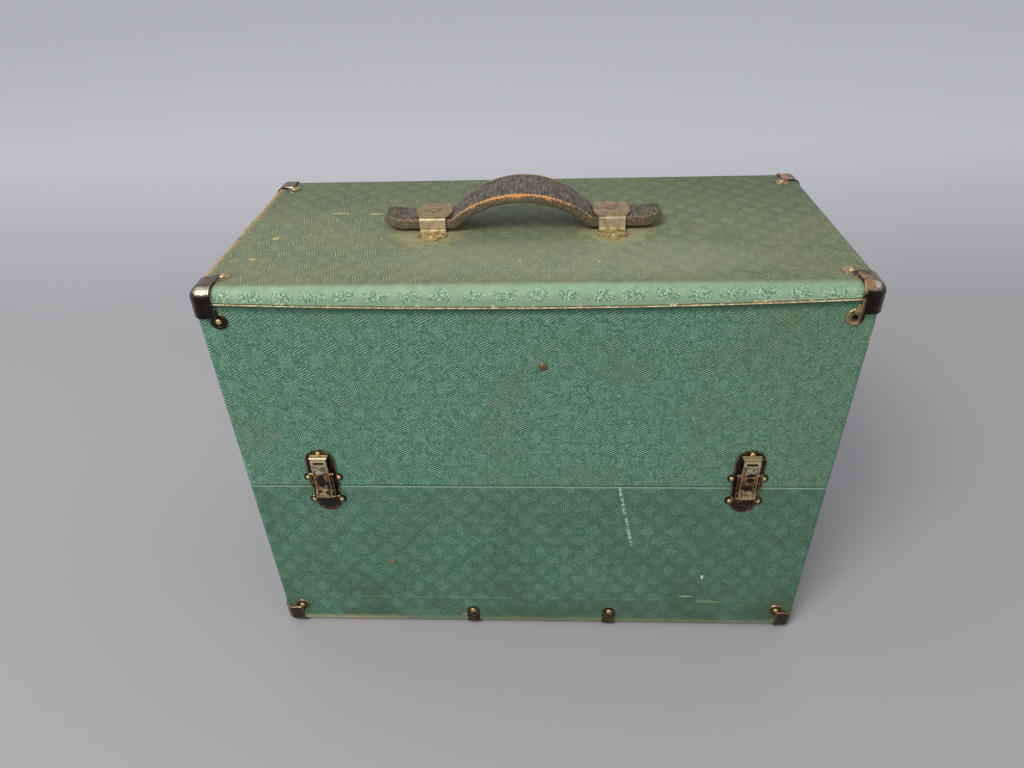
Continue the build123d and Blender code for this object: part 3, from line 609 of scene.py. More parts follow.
def rounded_block(bm, low, high, radius, tube=None):
    """A block rounded to this radius about its corner at low, or only round its tube axis."""
    made = bmesh.ops.create_cube(bm, size=1.0)
    edges = {edge for vert in made["verts"] for edge in vert.link_edges}
    bmesh.ops.subdivide_edges(bm, edges=list(edges), cuts=16, use_grid_fill=True)
    for vert in [v for v in bm.verts if not v.tag]:
        vert.tag = True
        point = Vector([l + (h - l) * (c + 0.5) for l, h, c in zip(low, high, vert.co)])
        core = Vector([max(c, l + radius) for c, l in zip(point, low)])
        if tube is not None:
            core[tube] = point[tube]
        away = point - core
        if away.length > radius:
            point = core + away.normalized() * radius
        vert.co = point * MM


def loose_object(name, bm):
    """A helper object, which is removed again when it has been used."""
    mesh = bpy.data.meshes.new(name)
    bm.to_mesh(mesh)
    bm.free()
    made = bpy.data.objects.new(name, mesh)
    bpy.context.scene.collection.objects.link(made)
    return made


def worked(lump):
    """The helper object's mesh with its modifiers applied."""
    bpy.context.view_layer.update()
    evaluated = lump.evaluated_get(bpy.context.evaluated_depsgraph_get())
    mesh = bpy.data.meshes.new_from_object(evaluated)
    bpy.data.objects.remove(lump)
    return mesh


def fused(bm):
    """Melts overlapping shapes into one skin with soft creases, as pressing does."""
    lump = loose_object("guard", bm)
    remesh = lump.modifiers.new("remesh", "REMESH")
    remesh.mode = "VOXEL"
    remesh.voxel_size = VOXEL * MM
    smooth = lump.modifiers.new("smooth", "SMOOTH")
    smooth.factor = 0.5
    smooth.iterations = 5
    return worked(lump)


def guard_neck(bm, centre, out, corner):
    """The short bridge from the guard's rim out to a lobe."""
    toward = (Vector(centre) - corner).normalized()
    start = corner - toward * 6.0
    across = out.cross(toward)
    rings = []
    for distance, half, rise in NECK:
        spot = start + toward * distance
        outline = ((half, -4.0), (-half, -4.0), (-half, rise - 0.4), (-half * 0.6, rise),
                   (half * 0.6, rise), (half, rise - 0.4))
        rings.append([(spot + across * side + out * up) * MM for side, up in outline])
    loft(bm, rings)


def pressed_guard():
    """One guard for a corner at the origin, with the case on the +X +Y +Z side."""
    bm = bmesh.new()
    rounded_block(bm, Vector((-CAP_PROUD,) * 3), Vector(GUARD_REACH), CAP_ROUNDING)
    for axis in range(3):
        near = Vector((-RIM_PROUD,) * 3)
        near[axis] = GUARD_REACH[axis] - RIM_W
        rounded_block(bm, near, Vector(GUARD_REACH), RIM_ROUNDING, tube=axis)
    for centre, axis in GUARD_LOBES:
        out = Vector((0, 0, 0))
        out[axis] = -1
        turned(bm, centre, out, LOBE_DISH)
        corner = Vector([min(c, r) for c, r in zip(centre, GUARD_REACH)])
        corner[axis] = 0
        guard_neck(bm, centre, out, corner)
    bmesh.ops.recalc_face_normals(bm, faces=bm.faces)
    return fused(bm)


def seat_block(proud):
    """The corner of the case that the guard is pressed to, with its arrises rounded off."""
    bm = bmesh.new()
    bmesh.ops.create_cube(bm, size=60 * MM)
    bmesh.ops.translate(bm, verts=bm.verts, vec=Vector((30 - proud,) * 3) * MM)
    near = []
    for edge in bm.edges:
        faces_near = [k for k in range(3) if all(vert.co[k] < MM for vert in edge.verts)]
        if len(faces_near) == 2:
            near.append(edge)
    bmesh.ops.bevel(bm, geom=near, offset=(SEAT_ROUNDING + proud) * MM, segments=5, profile=0.5,
                    affect="EDGES")
    return loose_object("seat", bm)


def cut_away(mesh, cutter):
    """The mesh with the cutter's room taken out of it."""
    lump = bpy.data.objects.new("lump", mesh)
    bpy.context.scene.collection.objects.link(lump)
    cut = lump.modifiers.new("cut", "BOOLEAN")
    cut.operation = "DIFFERENCE"
    cut.solver = "EXACT"
    cut.object = cutter
    return worked(lump)


blacking = Finish("blackened steel")
tarnish = blacking.cloud(5.0, 81, detail=5.0, roughness=0.65)
fine = blacking.cloud(1.2, 83, detail=4.0, roughness=0.7)
x, y, z = blacking.place()
facing = blacking.facing()
raised = blacking.add("ShaderNodeNewGeometry").outputs["Pointiness"]
steel = blacking.mix(blacking.step(tarnish, 0.35, 0.65), shade(36, 32, 30), shade(92, 80, 70))
on_top = blacking.times(blacking.step(facing[2], 0.5, 0.95), blacking.step(tarnish, 0.3, 0.6), 0.6)
steel = blacking.mix(on_top, steel, shade(124, 108, 96))
low_down = blacking.times(blacking.step(z, 60.0, 40.0), blacking.step(tarnish, 0.25, 0.5), 0.9)
low_tone = blacking.mix(fine, shade(88, 74, 54), shade(180, 156, 112))
steel = blacking.mix(low_down, steel, low_tone)
scratched = blacking.scaled(blacking.step(facing[2], 0.3, 0.8), 0.7, 0.3)
scratched = blacking.times(blacking.step(fine, 0.55, 0.66), scratched, 0.7)
steel = blacking.mix(scratched, steel, shade(164, 136, 106))
# Painted highlight along the upper front edges of the lid's guards.
painted_shoulder_highlight = blacking.scaled(facing[1], -0.60, blacking.times(facing[2], 0.80))
painted_shoulder_highlight = blacking.uneven(painted_shoulder_highlight, fine, 0.22)
painted_shoulder_highlight = blacking.times(blacking.step(painted_shoulder_highlight, 0.86, 1.0), blacking.step(z, 290.0, 300.0),
                          blacking.step(tarnish, 0.34, 0.52), 0.85)
steel = blacking.mix(painted_shoulder_highlight, steel, shade(222, 208, 184))
# Painted dark reflection on the faces that look to the front.
black = blacking.times(blacking.step(facing[1], -0.86, -0.96), 0.8)
steel = blacking.mix(black, steel, shade(20, 17, 16))
copper = blacking.mix(fine, shade(146, 100, 72), shade(196, 150, 114))
patch = blacking.times(blacking.between(x, 211.0, 212.5, 216.0, 219.0),
                       blacking.step(facing[2], 0.35, 0.6), blacking.step(tarnish, 0.4, 0.5))
steel = blacking.mix(patch, steel, copper)
worn = blacking.scaled(fine, 0.07, blacking.scaled(tarnish, 0.07, raised))
gold = blacking.mix(fine, shade(140, 112, 70), shade(214, 192, 138))
steel = blacking.mix(blacking.times(blacking.step(worn, 0.6, 0.68), 0.6), steel, gold)

# The lobe at the right of the front has lost its nail: it is bare, and its empty nail opening is a
# dark spot of painted shade.
on_lobe = blacking.times(blacking.step(blacking.size(x), 209.5, 207.5),
                         blacking.step(facing[2], 0.5, 0.8))
lost_nail = blacking.times(blacking.between(x, 200.0, 202.0, 211.0, 214.0),
                           blacking.step(y, -108.0, -108.4), blacking.step(z, 307.0, 308.0))
bare = blacking.times(blacking.sum("MAXIMUM", on_lobe, lost_nail),
                      blacking.step(tarnish, 0.36, 0.5), 0.85)
steel = blacking.mix(bare, steel, gold)
# Painted shade: the empty nail opening as a dark spot.
painted_hole_shade = blacking.squares(blacking.minus(x, 209.6), blacking.minus(z, 316.2))
painted_hole_shade = blacking.step(blacking.uneven(painted_hole_shade, tarnish, 8.0), 7.0, 4.0)
steel = blacking.mix(blacking.times(painted_hole_shade, lost_nail), steel, shade(26, 20, 16))
blacking.relief(blacking.plus(fine, tarnish), 0.12)
blacking.coat(steel, blacking.blend(tarnish, 0.2, 0.4), 0.85)

nail_finish = Finish("brass nails")
nail_tone = nail_finish.cloud(1.5, 85, detail=3.0)
nail_finish.coat(nail_finish.mix(nail_tone, shade(196, 166, 104), shade(232, 212, 158)), 0.3, 0.95)
NAIL_DOME = ((2.1, -0.3), (2.15, 0.1), (2.0, 0.45), (1.6, 0.8), (1.0, 1.05), (0.4, 1.15))
DISH_FLOOR = 0.8

for half, side_z, corner_z, proud in (("base", -1, UNDERSIDE, 0.0), ("lid", 1, CASE_TOP, 0.4)):
    seat = seat_block(proud)
    blank = cut_away(pressed_guard(), seat)
    bpy.data.objects.remove(seat)
    guards = bmesh.new()
    nails = bmesh.new()
    for side_x in (-1, 1):
        for side_y in (-1, 1):
            sides = (side_x, side_y, side_z)
            corner = Vector((side_x * CASE_X, side_y * CASE_Y, corner_z))
            flip = Matrix.Diagonal((-side_x, -side_y, -side_z, 1))
            copy = blank.copy()
            copy.transform(Matrix.Translation(corner * MM) @ flip)
            guards.from_mesh(copy)
            bpy.data.meshes.remove(copy)
            for centre, axis in GUARD_LOBES:
                out = Vector((0, 0, 0))
                out[axis] = sides[axis]
                spot = corner + Vector([-c * s for c, s in zip(centre, sides)])
                lost = sides == (1, -1, 1) and axis == 1
                if not lost:
                    turned(nails, spot + out * DISH_FLOOR, out, NAIL_DOME)
    guard_piece = make_piece(guards, f"{half}_guards", blacking, sharp=50.0)
    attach(guard_piece, half)
    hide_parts(f"{half}_corner_guards")
    nail_piece = make_piece(nails, f"{half}_guard_nails", nail_finish)
    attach(nail_piece, half)


# Glides
# Four pressed steel strips bent under the front and back edges, each held by a nail in its tab.
# The case slides and stands on them, so they are bright underneath.
GLIDE_PLACES = (("left", -55.5), ("right", 65.0))
GLIDE_HALF_W = 5.75
GLIDE_TAB_TOP = 23.8
GLIDE_NAIL_H = 19.8
GLIDE_NAIL = ((2.5, -0.4), (2.5, 0.1), (2.2, 0.5), (1.5, 0.85), (0.6, 1.0))
GLIDE_BEND = 5.0
GLIDE_UNDER = 22.0
GLIDE_CROWN = 1.2
STEEL_T = 1.0
glide_finish = Finish("glide steel")
rub = glide_finish.cloud(3.0, 91, detail=5.0, roughness=0.65)
rubbed = glide_finish.step(rub, 0.4, 0.62)
glide_steel = glide_finish.mix(rubbed, shade(46, 42, 34), shade(124, 102, 72))
glide_finish.relief(rub, 0.1)
glide_finish.coat(glide_steel, 0.28, 0.9)


def glide_route():
    """From the tab's top down the face, round the edge and under: (depth, height, way out)."""
    drop = GLIDE_TAB_TOP - UNDERSIDE - GLIDE_BEND
    route = [(0.0, GLIDE_TAB_TOP - drop * k / 12, (-1.0, 0.0)) for k in range(13)]
    for k in range(1, 9):
        a = radians(90 * k / 8)
        height = UNDERSIDE + GLIDE_BEND - GLIDE_BEND * sin(a)
        route.append((GLIDE_BEND - GLIDE_BEND * cos(a), height, (-cos(a), -sin(a))))
    run = GLIDE_UNDER - GLIDE_BEND
    return route + [(GLIDE_BEND + run * k / 6, UNDERSIDE, (0.0, -1.0)) for k in range(1, 7)]


def bent_glide(bm, x, facing):
    """The crowned strip along its route, with a round end to its tab."""
    rings = []
    for depth, height, out in glide_route():
        crown = GLIDE_CROWN + (RIM_PROUD - GLIDE_CROWN) * max(0.0, -out[1])
        below_top = GLIDE_TAB_TOP - height
        half = GLIDE_HALF_W
        if below_top < GLIDE_HALF_W and out[0] == -1.0:
            half = sqrt(max(GLIDE_HALF_W ** 2 - (GLIDE_HALF_W - below_top) ** 2, 1.2))
        ring = []
        for share in (-1.0, -0.92, -0.6, -0.2, 0.2, 0.6, 0.92, 1.0):
            rise = crown * (1 - 0.45 * share ** 4) if abs(share) < 1 else 0.05
            ring.append((x + share * half, -CASE_Y + depth + out[0] * rise, height + out[1] * rise))
        for side in (1, -1):
            ring.append((x + side * half, -CASE_Y + depth - 0.6 * out[0], height - 0.6 * out[1]))
        rings.append([Vector((p[0], -facing * p[1], p[2])) * MM for p in ring])
    loft(bm, rings)


for facing, edge in ((-1, "front"), (1, "back")):
    for name, x in GLIDE_PLACES:
        bm = bmesh.new()
        bent_glide(bm, x, facing)
        glide = make_piece(bm, f"{edge}_{name}_glide_strip", glide_finish)
        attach(glide, "base")
        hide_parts(f"{edge}_{name}_glide")
        bm = bmesh.new()
        spot = (x, facing * (CASE_Y + STEEL_T), GLIDE_NAIL_H)
        turned(bm, spot, (0, facing, 0), GLIDE_NAIL)
        glide_nail = make_piece(bm, f"{edge}_{name}_glide_nail", nail_finish)
        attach(glide_nail, "base")


# Tack on the lid and nail on the base
# A domed upholstery tack sits in the middle of the lid's front, and a small brown nail head
# low on the base's front, left of the middle.
TACK_PLACE = (8.4, -CASE_Y, 278.5)
TACK_DOME = ((3.1, -0.3), (3.1, 0.1), (2.8, 0.5), (2.1, 0.95), (1.2, 1.2), (0.5, 1.28))
tack_finish = Finish("tarnished tack")
tack_tone = tack_finish.cloud(2.0, 95, detail=4.0)
tack_finish.coat(tack_finish.mix(tack_tone, shade(92, 66, 44), shade(168, 128, 92)), 0.4, 0.85)
bm = bmesh.new()
turned(bm, TACK_PLACE, (0, -1, 0), TACK_DOME, sides=32)
tack = make_piece(bm, "lid_tack", tack_finish)
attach(tack, "lid")

BROWN_NAIL_PLACE = (-120.4, -CASE_Y, 81.7)
BROWN_NAIL_HEAD = ((1.6, -0.2), (1.6, 0.2), (1.2, 0.5), (0.5, 0.6))
rust_finish = Finish("rusty nail")
rust_tone = rust_finish.cloud(1.0, 97, detail=4.0)
rust_finish.coat(rust_finish.mix(rust_tone, shade(150, 84, 48), shade(196, 122, 76)), 0.6, 0.3)
bm = bmesh.new()
turned(bm, BROWN_NAIL_PLACE, (0, -1, 0), BROWN_NAIL_HEAD, sides=20)
brown_nail = make_piece(bm, "base_brown_nail", rust_finish)
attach(brown_nail, "base")


# Hinges
# Two butt hinges of folded steel at the back, each leaf held by three countersunk screws, on a
# plain wire pin.
hinge_finish = Finish("hinge steel")
hinge_blotch = hinge_finish.cloud(5.0, 101, detail=5.0)
hinge_steel = hinge_finish.mix(hinge_blotch, shade(96, 86, 68), shade(158, 138, 98))
hinge_finish.relief(hinge_blotch, 0.06)
hinge_finish.coat(hinge_steel, 0.42, 0.9)
HINGES = (("left", -150.0), ("right", 150.0))
LEAF_T = 1.2
HINGE_SCREWS = ((-17.0, 13.5), (0.0, 10.0), (17.0, 13.5))
SCREW_HEAD = ((2.6, -0.2), (2.6, 0.05), (2.2, 0.3), (0.4, 0.42))
for name, x in HINGES:
    for half, side in (("base", -1), ("lid", 1)):
        dress(f"{name}_hinge_{half}_leaf", hinge_finish)
        bm = bmesh.new()
        for offset, out in HINGE_SCREWS:
            spot = (x + offset, CASE_Y + LEAF_T, SEAM_Z + side * out)
            turned(bm, spot, (0, 1, 0), SCREW_HEAD, sides=20)
        screws = make_piece(bm, f"{name}_hinge_{half}_screws", hinge_finish)
        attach(screws, half)
    dress(f"{name}_hinge_pin", hinge_finish)


# Draw latches
# Each latch has a keeper plate on the lid and a base plate, both japanned black, and a link and
# lever of plated brass that pull the lid down over the keeper's saddle.
SHOULDER_H = 193.2
LOW_END_H = 153.1
KEEPER_HALF_W = 11.5
BASE_HALF_W = 10.4
LATCHES = (("left", -163.0, 3), ("right", 162.5, 8))


def plate_finish(name, centre, seed, lid):
    """Black japan, rubbed to brass round the plate's edge and bright on the keeper's lip."""
    finish = Finish(name)
    chips = finish.cloud(2.2, seed, detail=5.0, roughness=0.7)
    x, y, z = finish.place()
    dx = finish.size(finish.minus(x, centre))
    black = finish.mix(finish.step(chips, 0.54, 0.68), shade(30, 25, 23), shade(112, 86, 52))
    edge = KEEPER_HALF_W if lid else BASE_HALF_W
    if lid:
        beyond = finish.sum("MAXIMUM", finish.minus(z, SHOULDER_H), 0.0)
    else:
        beyond = finish.sum("MINIMUM", finish.minus(z, LOW_END_H), 0.0)
    radius = finish.sum("SQRT", finish.squares(dx, beyond))
    rim = finish.times(finish.step(finish.uneven(radius, chips, 1.6), edge - 1.0, edge - 0.5),
                       finish.step(radius, edge + 0.3, edge),
                       finish.scaled(finish.step(chips, 0.42, 0.56), 0.7, 0.15))
    steel = finish.mix(rim, black, shade(146, 122, 80))
    if lid:
        bar = finish.times(finish.between(z, 197.0, 197.6, 199.4, 199.9), finish.step(dx, 7.2, 6.9))
        bright = finish.mix(chips, shade(140, 124, 96), shade(222, 208, 172))
        steel = finish.mix(bar, steel, bright)
        saddle = finish.times(finish.between(z, 191.5, 192.0, 197.2, 197.6),
                              finish.step(dx, 5.1, 4.8), 0.7)
        steel = finish.mix(saddle, steel, shade(112, 88, 62))
    else:
        arc = finish.times(finish.between(radius, 7.4, 7.9, 8.3, 8.9), finish.step(z, 156.0, 152.0),
                           finish.step(chips, 0.42, 0.58), 0.6)
        steel = finish.mix(arc, steel, shade(138, 106, 78))
    finish.relief(chips, 0.1)
    return finish.coat(steel, finish.blend(chips, 0.22, 0.42), 0.6)


def lever_finish(name, centre, seed, patches):
    """Nickel worn through to copper; patches are black places: (across, height, half sizes)."""
    finish = Finish(name)
    rubbing = finish.cloud(3.2, seed, detail=5.0, roughness=0.65)
    fine = finish.cloud(0.9, seed + 1, detail=4.0, roughness=0.7)
    x, y, z = finish.place()
    dx = finish.minus(x, centre)
    nickel = finish.mix(finish.step(rubbing, 0.4, 0.64), shade(112, 104, 88), shade(208, 198, 170))
    copper = finish.mix(finish.step(rubbing, 0.35, 0.65), shade(84, 64, 48), shade(176, 136, 102))
    brass = finish.mix(finish.step(rubbing, 0.35, 0.65), shade(96, 80, 54), shade(190, 166, 122))
    ragged = finish.uneven(z, rubbing, 6.0)
    plating = finish.mix(finish.step(ragged, 185.6, 184.0), nickel, copper)
    plating = finish.mix(finish.step(ragged, 169.6, 168.2), plating, brass)
    claw_tone = finish.mix(fine, shade(178, 156, 116), shade(236, 220, 180))
    plating = finish.mix(finish.step(z, 192.0, 192.8), plating, claw_tone)
    dark = finish.mix(fine, shade(30, 26, 24), shade(62, 54, 46))
    for place, height, half_w, half_h in patches:
        over = finish.over(finish.minus(dx, place), half_w)
        up = finish.over(finish.minus(z, height), half_h)
        far = finish.uneven(finish.squares(over, up), rubbing, 2.4)
        plating = finish.mix(finish.step(far, 1.25, 0.8), plating, dark)
    aside = finish.size(dx)
    rim = finish.times(finish.step(aside, 5.3, 5.8),
                       finish.scaled(finish.step(fine, 0.35, 0.6), 0.7, 0.3), 0.7)
    plating = finish.mix(rim, plating, shade(168, 148, 108))
    groove = finish.step(finish.size(finish.minus(aside, 4.5)), 0.55, 0.15)
    groove = finish.times(groove, finish.step(z, 192.4, 191.4), 0.65)
    plating = finish.mix(groove, plating, shade(58, 44, 34))
    finish.relief(rubbing, 0.1)
    return finish.coat(plating, finish.blend(fine, 0.26, 0.46), 0.82)


def link_finish(name, seed):
    """Brown plated brass, rubbed bright in patches."""
    finish = Finish(name)
    rubbing = finish.cloud(1.8, seed, detail=5.0, roughness=0.7)
    tone = finish.mix(finish.step(rubbing, 0.4, 0.6), shade(46, 38, 30), shade(142, 120, 82))
    return finish.coat(tone, 0.36, 0.85)


BLACK_PATCHES = {
    "left": ((-0.6, 177.2, 3.4, 6.2), (4.6, 173.0, 1.8, 4.0), (-3.2, 166.6, 2.0, 1.2),
             (3.2, 166.0, 2.0, 1.4)),
    "right": ((0.6, 184.2, 3.4, 1.6), (0.4, 179.4, 3.4, 2.2), (-0.6, 171.4, 4.6, 2.6)),
}
LATCH_NAILS = (
    ("lid", ((0, 199.2), (-12.0, 175.3), (12.0, 175.3))),
    ("base", ((-10.9, 152.5), (10.9, 152.5))),
)
LATCH_NAIL = ((1.85, -0.3), (1.9, 0.15), (1.8, 0.5), (1.45, 0.9), (0.9, 1.2), (0.35, 1.3))
for name, x, seed in LATCHES:
    black = BLACK_PATCHES[name]
    dress(f"{name}_latch_keeper", plate_finish(f"{name} keeper japan", x, 110 + seed, True))
    dress(f"{name}_latch_base_plate", plate_finish(f"{name} plate japan", x, 210 + seed, False))
    dress(f"{name}_latch_link", link_finish(f"{name} link plating", 310 + seed))
    dress(f"{name}_latch_lever", lever_finish(f"{name} lever plating", x, 410 + seed, black))
    dress(f"{name}_latch_link_pin", nail_finish)
    dress(f"{name}_latch_lever_pin", nail_finish)
    for half, spots in LATCH_NAILS:
        bm = bmesh.new()
        for offset, height in spots:
            spot = (x + offset, -CASE_Y - STEEL_T, height + UNDERSIDE)
            turned(bm, spot, (0, -1, 0), LATCH_NAIL)
        pins = make_piece(bm, f"{name}_latch_{half}_nails", nail_finish)
        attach(pins, half)


# Handle loops
# Two bridges of pressed brass sheet that hold the handle down, browned with age, with a nail
# through the tab of each foot.
HANDLE_Y = 1.5
CLOTH_TOP = 338.6
FOOT_T = 1.4
FOOT_NAIL_OUT = 28.0
patina = Finish("aged brass")
aging = patina.cloud(5.0, 121, detail=5.0, roughness=0.65)
speck = patina.cloud(1.2, 123, detail=4.0, roughness=0.7)
x, y, z = patina.place()
leg = patina.mix(patina.step(aging, 0.3, 0.6), shade(170, 154, 122), shade(206, 190, 158))
browned = patina.mix(patina.step(aging, 0.35, 0.6), shade(116, 98, 70), shade(164, 142, 100))
browned = patina.mix(patina.step(speck, 0.58, 0.7), browned, shade(182, 128, 84))
brass = patina.mix(patina.step(z, CLOTH_TOP + 10.3, CLOTH_TOP + 10.8), leg, browned)
foot_tone = patina.mix(patina.step(aging, 0.35, 0.6), shade(132, 112, 74), shade(196, 176, 126))
brass = patina.mix(patina.step(z, CLOTH_TOP + 2.6, CLOTH_TOP + 1.6), brass, foot_tone)
from_middle = patina.minus(patina.size(patina.minus(x, GRIP_X)), LOOP_SPAN)
across = patina.minus(y, HANDLE_Y)
dimple = patina.sum("SQRT", patina.squares(from_middle, across))
ring = patina.between(dimple, 2.0, 3.2, 4.0, 5.4)
brass = patina.mix(patina.times(ring, 0.5), brass, shade(92, 72, 48))
lump = patina.squares(patina.minus(patina.size(from_middle), 6.4),
                      patina.minus(patina.size(across), 22.6))
lump = patina.step(lump, 9.0, 0.5)
pressed = patina.minus(patina.times(lump, 6.0), patina.times(ring, 5.0))
patina.relief(patina.plus(pressed, aging), 0.12)
patina.coat(brass, patina.blend(speck, 0.32, 0.5), 0.62)
for name, x in LOOPS:
    dress(f"{name}_handle_loop", patina)
    bm = bmesh.new()
    for side in (-1, 1):
        spot = (x, HANDLE_Y + side * FOOT_NAIL_OUT, CLOTH_TOP + FOOT_T)
        turned(bm, spot, (0, 0, 1), NAIL_DOME)
    loop_nails = make_piece(bm, f"{name}_loop_nails", patina)
    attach(loop_nails, "lid")


# Leather handle
# A strap of black bridle leather folded round a core and stitched along both edges. Its middle
# is an arched grip, and its two ends run out through the loops and curl up a little.
STRAP_HALF_T = 3.8
STRAP_DOME = 0.5
STRAP_MIDDLE = CLOTH_TOP + 6.0
CROWN = CLOTH_TOP + 27.7
CROWN_R = 72.5
SHOULDER_R = 12.0
FOOT_R = 8.0
CROWN_TURN = radians(38.0)
FOOT_TURN = radians(42.0)
STRAP_TAIL = 38.8
CURL_R = 41.8
CURL_TURN = 0.434
STRAP_HALF_W = 14.3
GRIP_HALF_W = 24.0
TIP_R = 13.0
GRIP_END_IN = 9.6
ARCH_REACH = 52.0


def strap_line():
    """Half of the strap's middle line: (distance from the crown, height, slope)."""
    line = []
    for k in range(57):
        a = CROWN_TURN * k / 56
        line.append((CROWN_R * sin(a), CROWN - CROWN_R * (1 - cos(a)), a))
    x1, z1, _ = line[-1]
    x2 = x1 + SHOULDER_R * (sin(FOOT_TURN) - sin(CROWN_TURN))
    z2 = z1 - SHOULDER_R * (cos(CROWN_TURN) - cos(FOOT_TURN))
    line.append((x2, z2, FOOT_TURN))
    foot_z = STRAP_MIDDLE + FOOT_R * (1 - cos(FOOT_TURN))
    x3 = x2 + (z2 - foot_z) * cos(FOOT_TURN) / sin(FOOT_TURN)
    x4 = x3 + FOOT_R * sin(FOOT_TURN)
    for k in range(1, 6):
        line.append((x2 + (x3 - x2) * k / 5, z2 + (foot_z - z2) * k / 5, FOOT_TURN))
    for k in range(1, 9):
        a = FOOT_TURN * (1 - k / 8)
        line.append((x4 - FOOT_R * sin(a), STRAP_MIDDLE + FOOT_R * (1 - cos(a)), a))
    start = LOOP_SPAN + STRAP_TAIL / 2
    for k in range(1, 21):
        line.append((x4 + (start - x4) * k / 20, STRAP_MIDDLE, 0.0))
    for k in range(1, 25):
        a = CURL_TURN * sin(k / 24 * pi / 2)
        line.append((start + CURL_R * sin(a), STRAP_MIDDLE + CURL_R * (1 - cos(a)), -a))
    return line


def strap_half_width(distance):
    inner = LOOP_SPAN - GRIP_END_IN
    reach = LOOP_SPAN + STRAP_TAIL / 2 + CURL_R * sin(CURL_TURN) + 0.4
    if distance < inner:
        bow = (inner ** 2 + (GRIP_HALF_W - STRAP_HALF_W) ** 2) / (2 * (GRIP_HALF_W - STRAP_HALF_W))
        return GRIP_HALF_W - bow + sqrt(bow ** 2 - distance ** 2)
    from_tip = reach - distance
    if from_tip < TIP_R:
        return STRAP_HALF_W - TIP_R + sqrt(TIP_R ** 2 - (TIP_R - from_tip) ** 2)
    return STRAP_HALF_W


leather = Finish("bridle leather")


def strap_mark(name):
    return leather.add("ShaderNodeAttribute", attribute_name=name).outputs["Fac"]


wear = strap_mark("wear")
flank = strap_mark("flank")
along = strap_mark("along")
across = strap_mark("across")
layer = strap_mark("layer")
pores = leather.cloud(0.9, 133, detail=4.0, roughness=0.7)
patchy = leather.cloud(8.0, 135, detail=4.0)
lengthwise = leather.add("ShaderNodeCombineXYZ", along, leather.times(across, 2.6), layer)
creases = leather.add("ShaderNodeTexNoise", lengthwise.outputs[0])
creases.inputs["Scale"].default_value = 0.85
creases.inputs["Detail"].default_value = 4.0
creases.inputs["Roughness"].default_value = 0.65
creases = creases.outputs[0]
hide = leather.mix(leather.step(patchy, 0.3, 0.7), shade(60, 53, 45), shade(106, 95, 78))
hide = leather.mix(leather.step(creases, 0.5, 0.38), hide, shade(38, 33, 31))
hide = leather.mix(leather.step(creases, 0.56, 0.7), hide, shade(156, 138, 108))
stack = leather.sum("SINE", leather.times(layer, 4.6))
fray = leather.uneven(stack, creases, 3.0)
side_hide = leather.mix(leather.step(fray, -0.9, 0.7), shade(52, 47, 40), shade(110, 99, 77))
side_hide = leather.mix(leather.step(pores, 0.52, 0.68), side_hide, shade(170, 150, 108))
hide = leather.mix(leather.step(flank, 0.4, 0.7), hide, side_hide)
stitch = leather.step(leather.sum("SINE", leather.times(along, 2 * pi / 2.6)), 0.1, 0.5)
edge_row = leather.size(leather.minus(leather.size(across), 0.88))
stitch = leather.times(stitch, leather.step(edge_row, 0.055, 0.03), 0.7)
hide = leather.mix(stitch, hide, shade(176, 150, 104))
scuff = leather.plus(wear, leather.scaled(creases, 1.1, -0.55))
scuff = leather.plus(scuff, leather.scaled(patchy, 0.7, -0.35))
tan = leather.mix(leather.step(pores, 0.3, 0.7), shade(184, 108, 50), shade(236, 172, 106))
hide = leather.mix(leather.step(scuff, 0.52, 0.7), hide, tan)
leather.relief(leather.scaled(pores, 0.4, creases), 0.5)
leather.coat(hide, 0.55, specular=0.35)


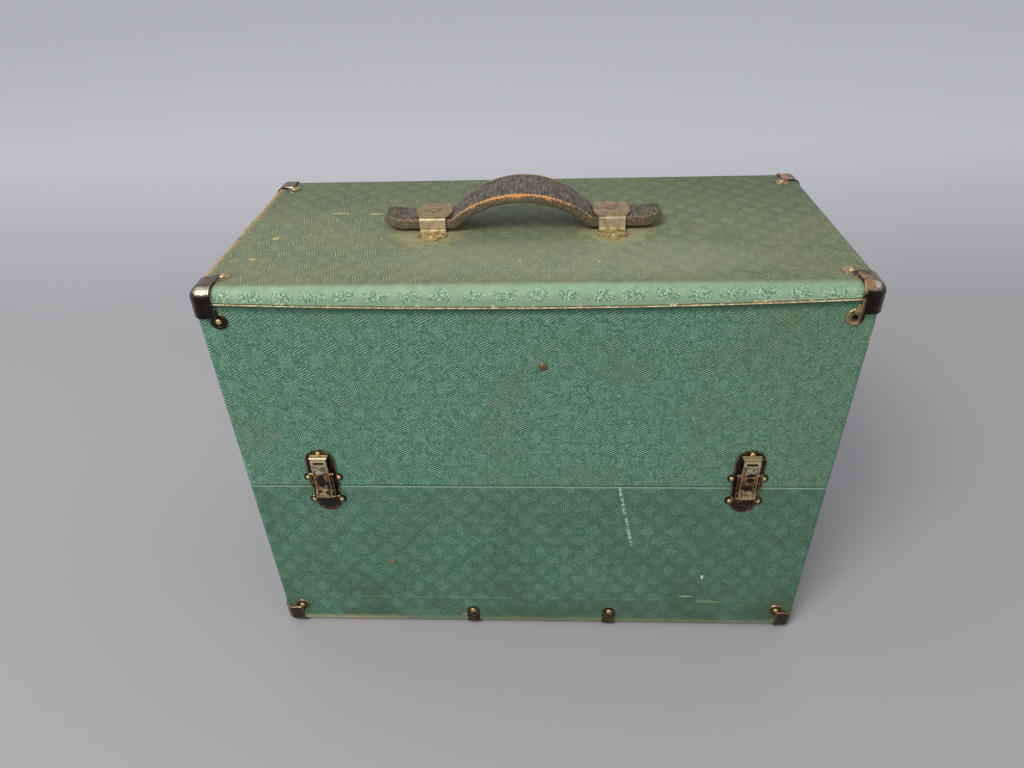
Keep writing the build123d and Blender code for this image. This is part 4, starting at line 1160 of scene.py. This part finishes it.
def strap_section(half, arch):
    """The strap's outline across its line, as (across, up): a low dome above and rounded edges."""
    edge = 1.5
    top = STRAP_HALF_T - STRAP_DOME
    low = STRAP_HALF_T - 1.0 * arch
    right = []
    for k in range(5):
        a = radians(90 - 90 * k / 4)
        right.append((half - edge + edge * cos(a), top - edge + edge * sin(a)))
    right += [(half, (top - edge) * 0.4), (half, (edge - low) * 0.4)]
    for k in range(5):
        a = radians(-90 * k / 4)
        right.append((half - edge + edge * cos(a), edge - low + edge * sin(a)))
    under = [(half * share, -low) for share in (0.5, 0.0, -0.5)]
    left = [(-across, up) for across, up in right[::-1]]
    shares = (-0.85, -0.7, -0.5, -0.25, 0.0, 0.25, 0.5, 0.7, 0.85)
    over = [((half - edge) * share, top + STRAP_DOME * (1 - share ** 2)) for share in shares]
    return right + under + left + over


line = strap_line()
whole = [(-d, h, -a) for d, h, a in line[:0:-1]] + line
left_end_x = LOOPS[0][1]
right_end_x = LOOPS[1][1]
MARKS = ("wear", "flank", "along", "across", "layer")


def strap_piece(name, low_x, high_x, body, node):
    """The stretch of the strap between two places along the case."""
    bm = bmesh.new()
    marks = [bm.verts.layers.float.new(mark) for mark in MARKS]
    kept = [(GRIP_X + d, h, a) for d, h, a in whole if low_x < GRIP_X + d < high_x]
    for edge_x in (low_x, high_x):
        if abs(edge_x - GRIP_X) < LOOP_SPAN + 1.0:
            kept.append((edge_x, STRAP_MIDDLE, 0.0))
    kept.sort()
    rows = []
    walked = kept[0][0]
    before = kept[0]
    for x, height, slope in kept:
        walked += sqrt((x - before[0]) ** 2 + (height - before[1]) ** 2)
        before = (x, height, slope)
        arch = max(0.0, 1 - (abs(x - GRIP_X) / ARCH_REACH) ** 2)
        half = max(strap_half_width(abs(x - GRIP_X)), 2.2)
        ring = []
        for side, up in strap_section(half, arch):
            spot = Vector((x + sin(slope) * up, HANDLE_Y + side, height + cos(slope) * up))
            vert = bm.verts.new(spot * MM)
            share = side / half
            if up > 0.5:
                on_edge = max(0.0, 1 - abs(abs(share) - 0.95) / 0.12)
            else:
                on_edge = 2.5 * max(0.0, abs(share) - 0.9)
            on_flank = 1.0 if abs(share) > 0.97 or up < 0.0 else 0.0
            for mark, value in zip(marks, (on_edge * (0.56 + 0.36 * arch), on_flank, walked,
                                           share, up)):
                vert[mark] = value
            ring.append(vert)
        rows.append(ring)
    skin(bm, rows)
    strap = make_piece(bm, name, leather, sharp=60.0)
    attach(strap, body)
    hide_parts(node)
    return strap


strap_piece("left_strap_end", -1000.0, left_end_x, "left_handle_end", "left_handle_end")
strap_piece("right_strap_end", right_end_x, 1000.0, "right_handle_end", "right_handle_end")
grip = strap_piece("grip", left_end_x, right_end_x, "lid", "handle_grip")
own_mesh(grip)
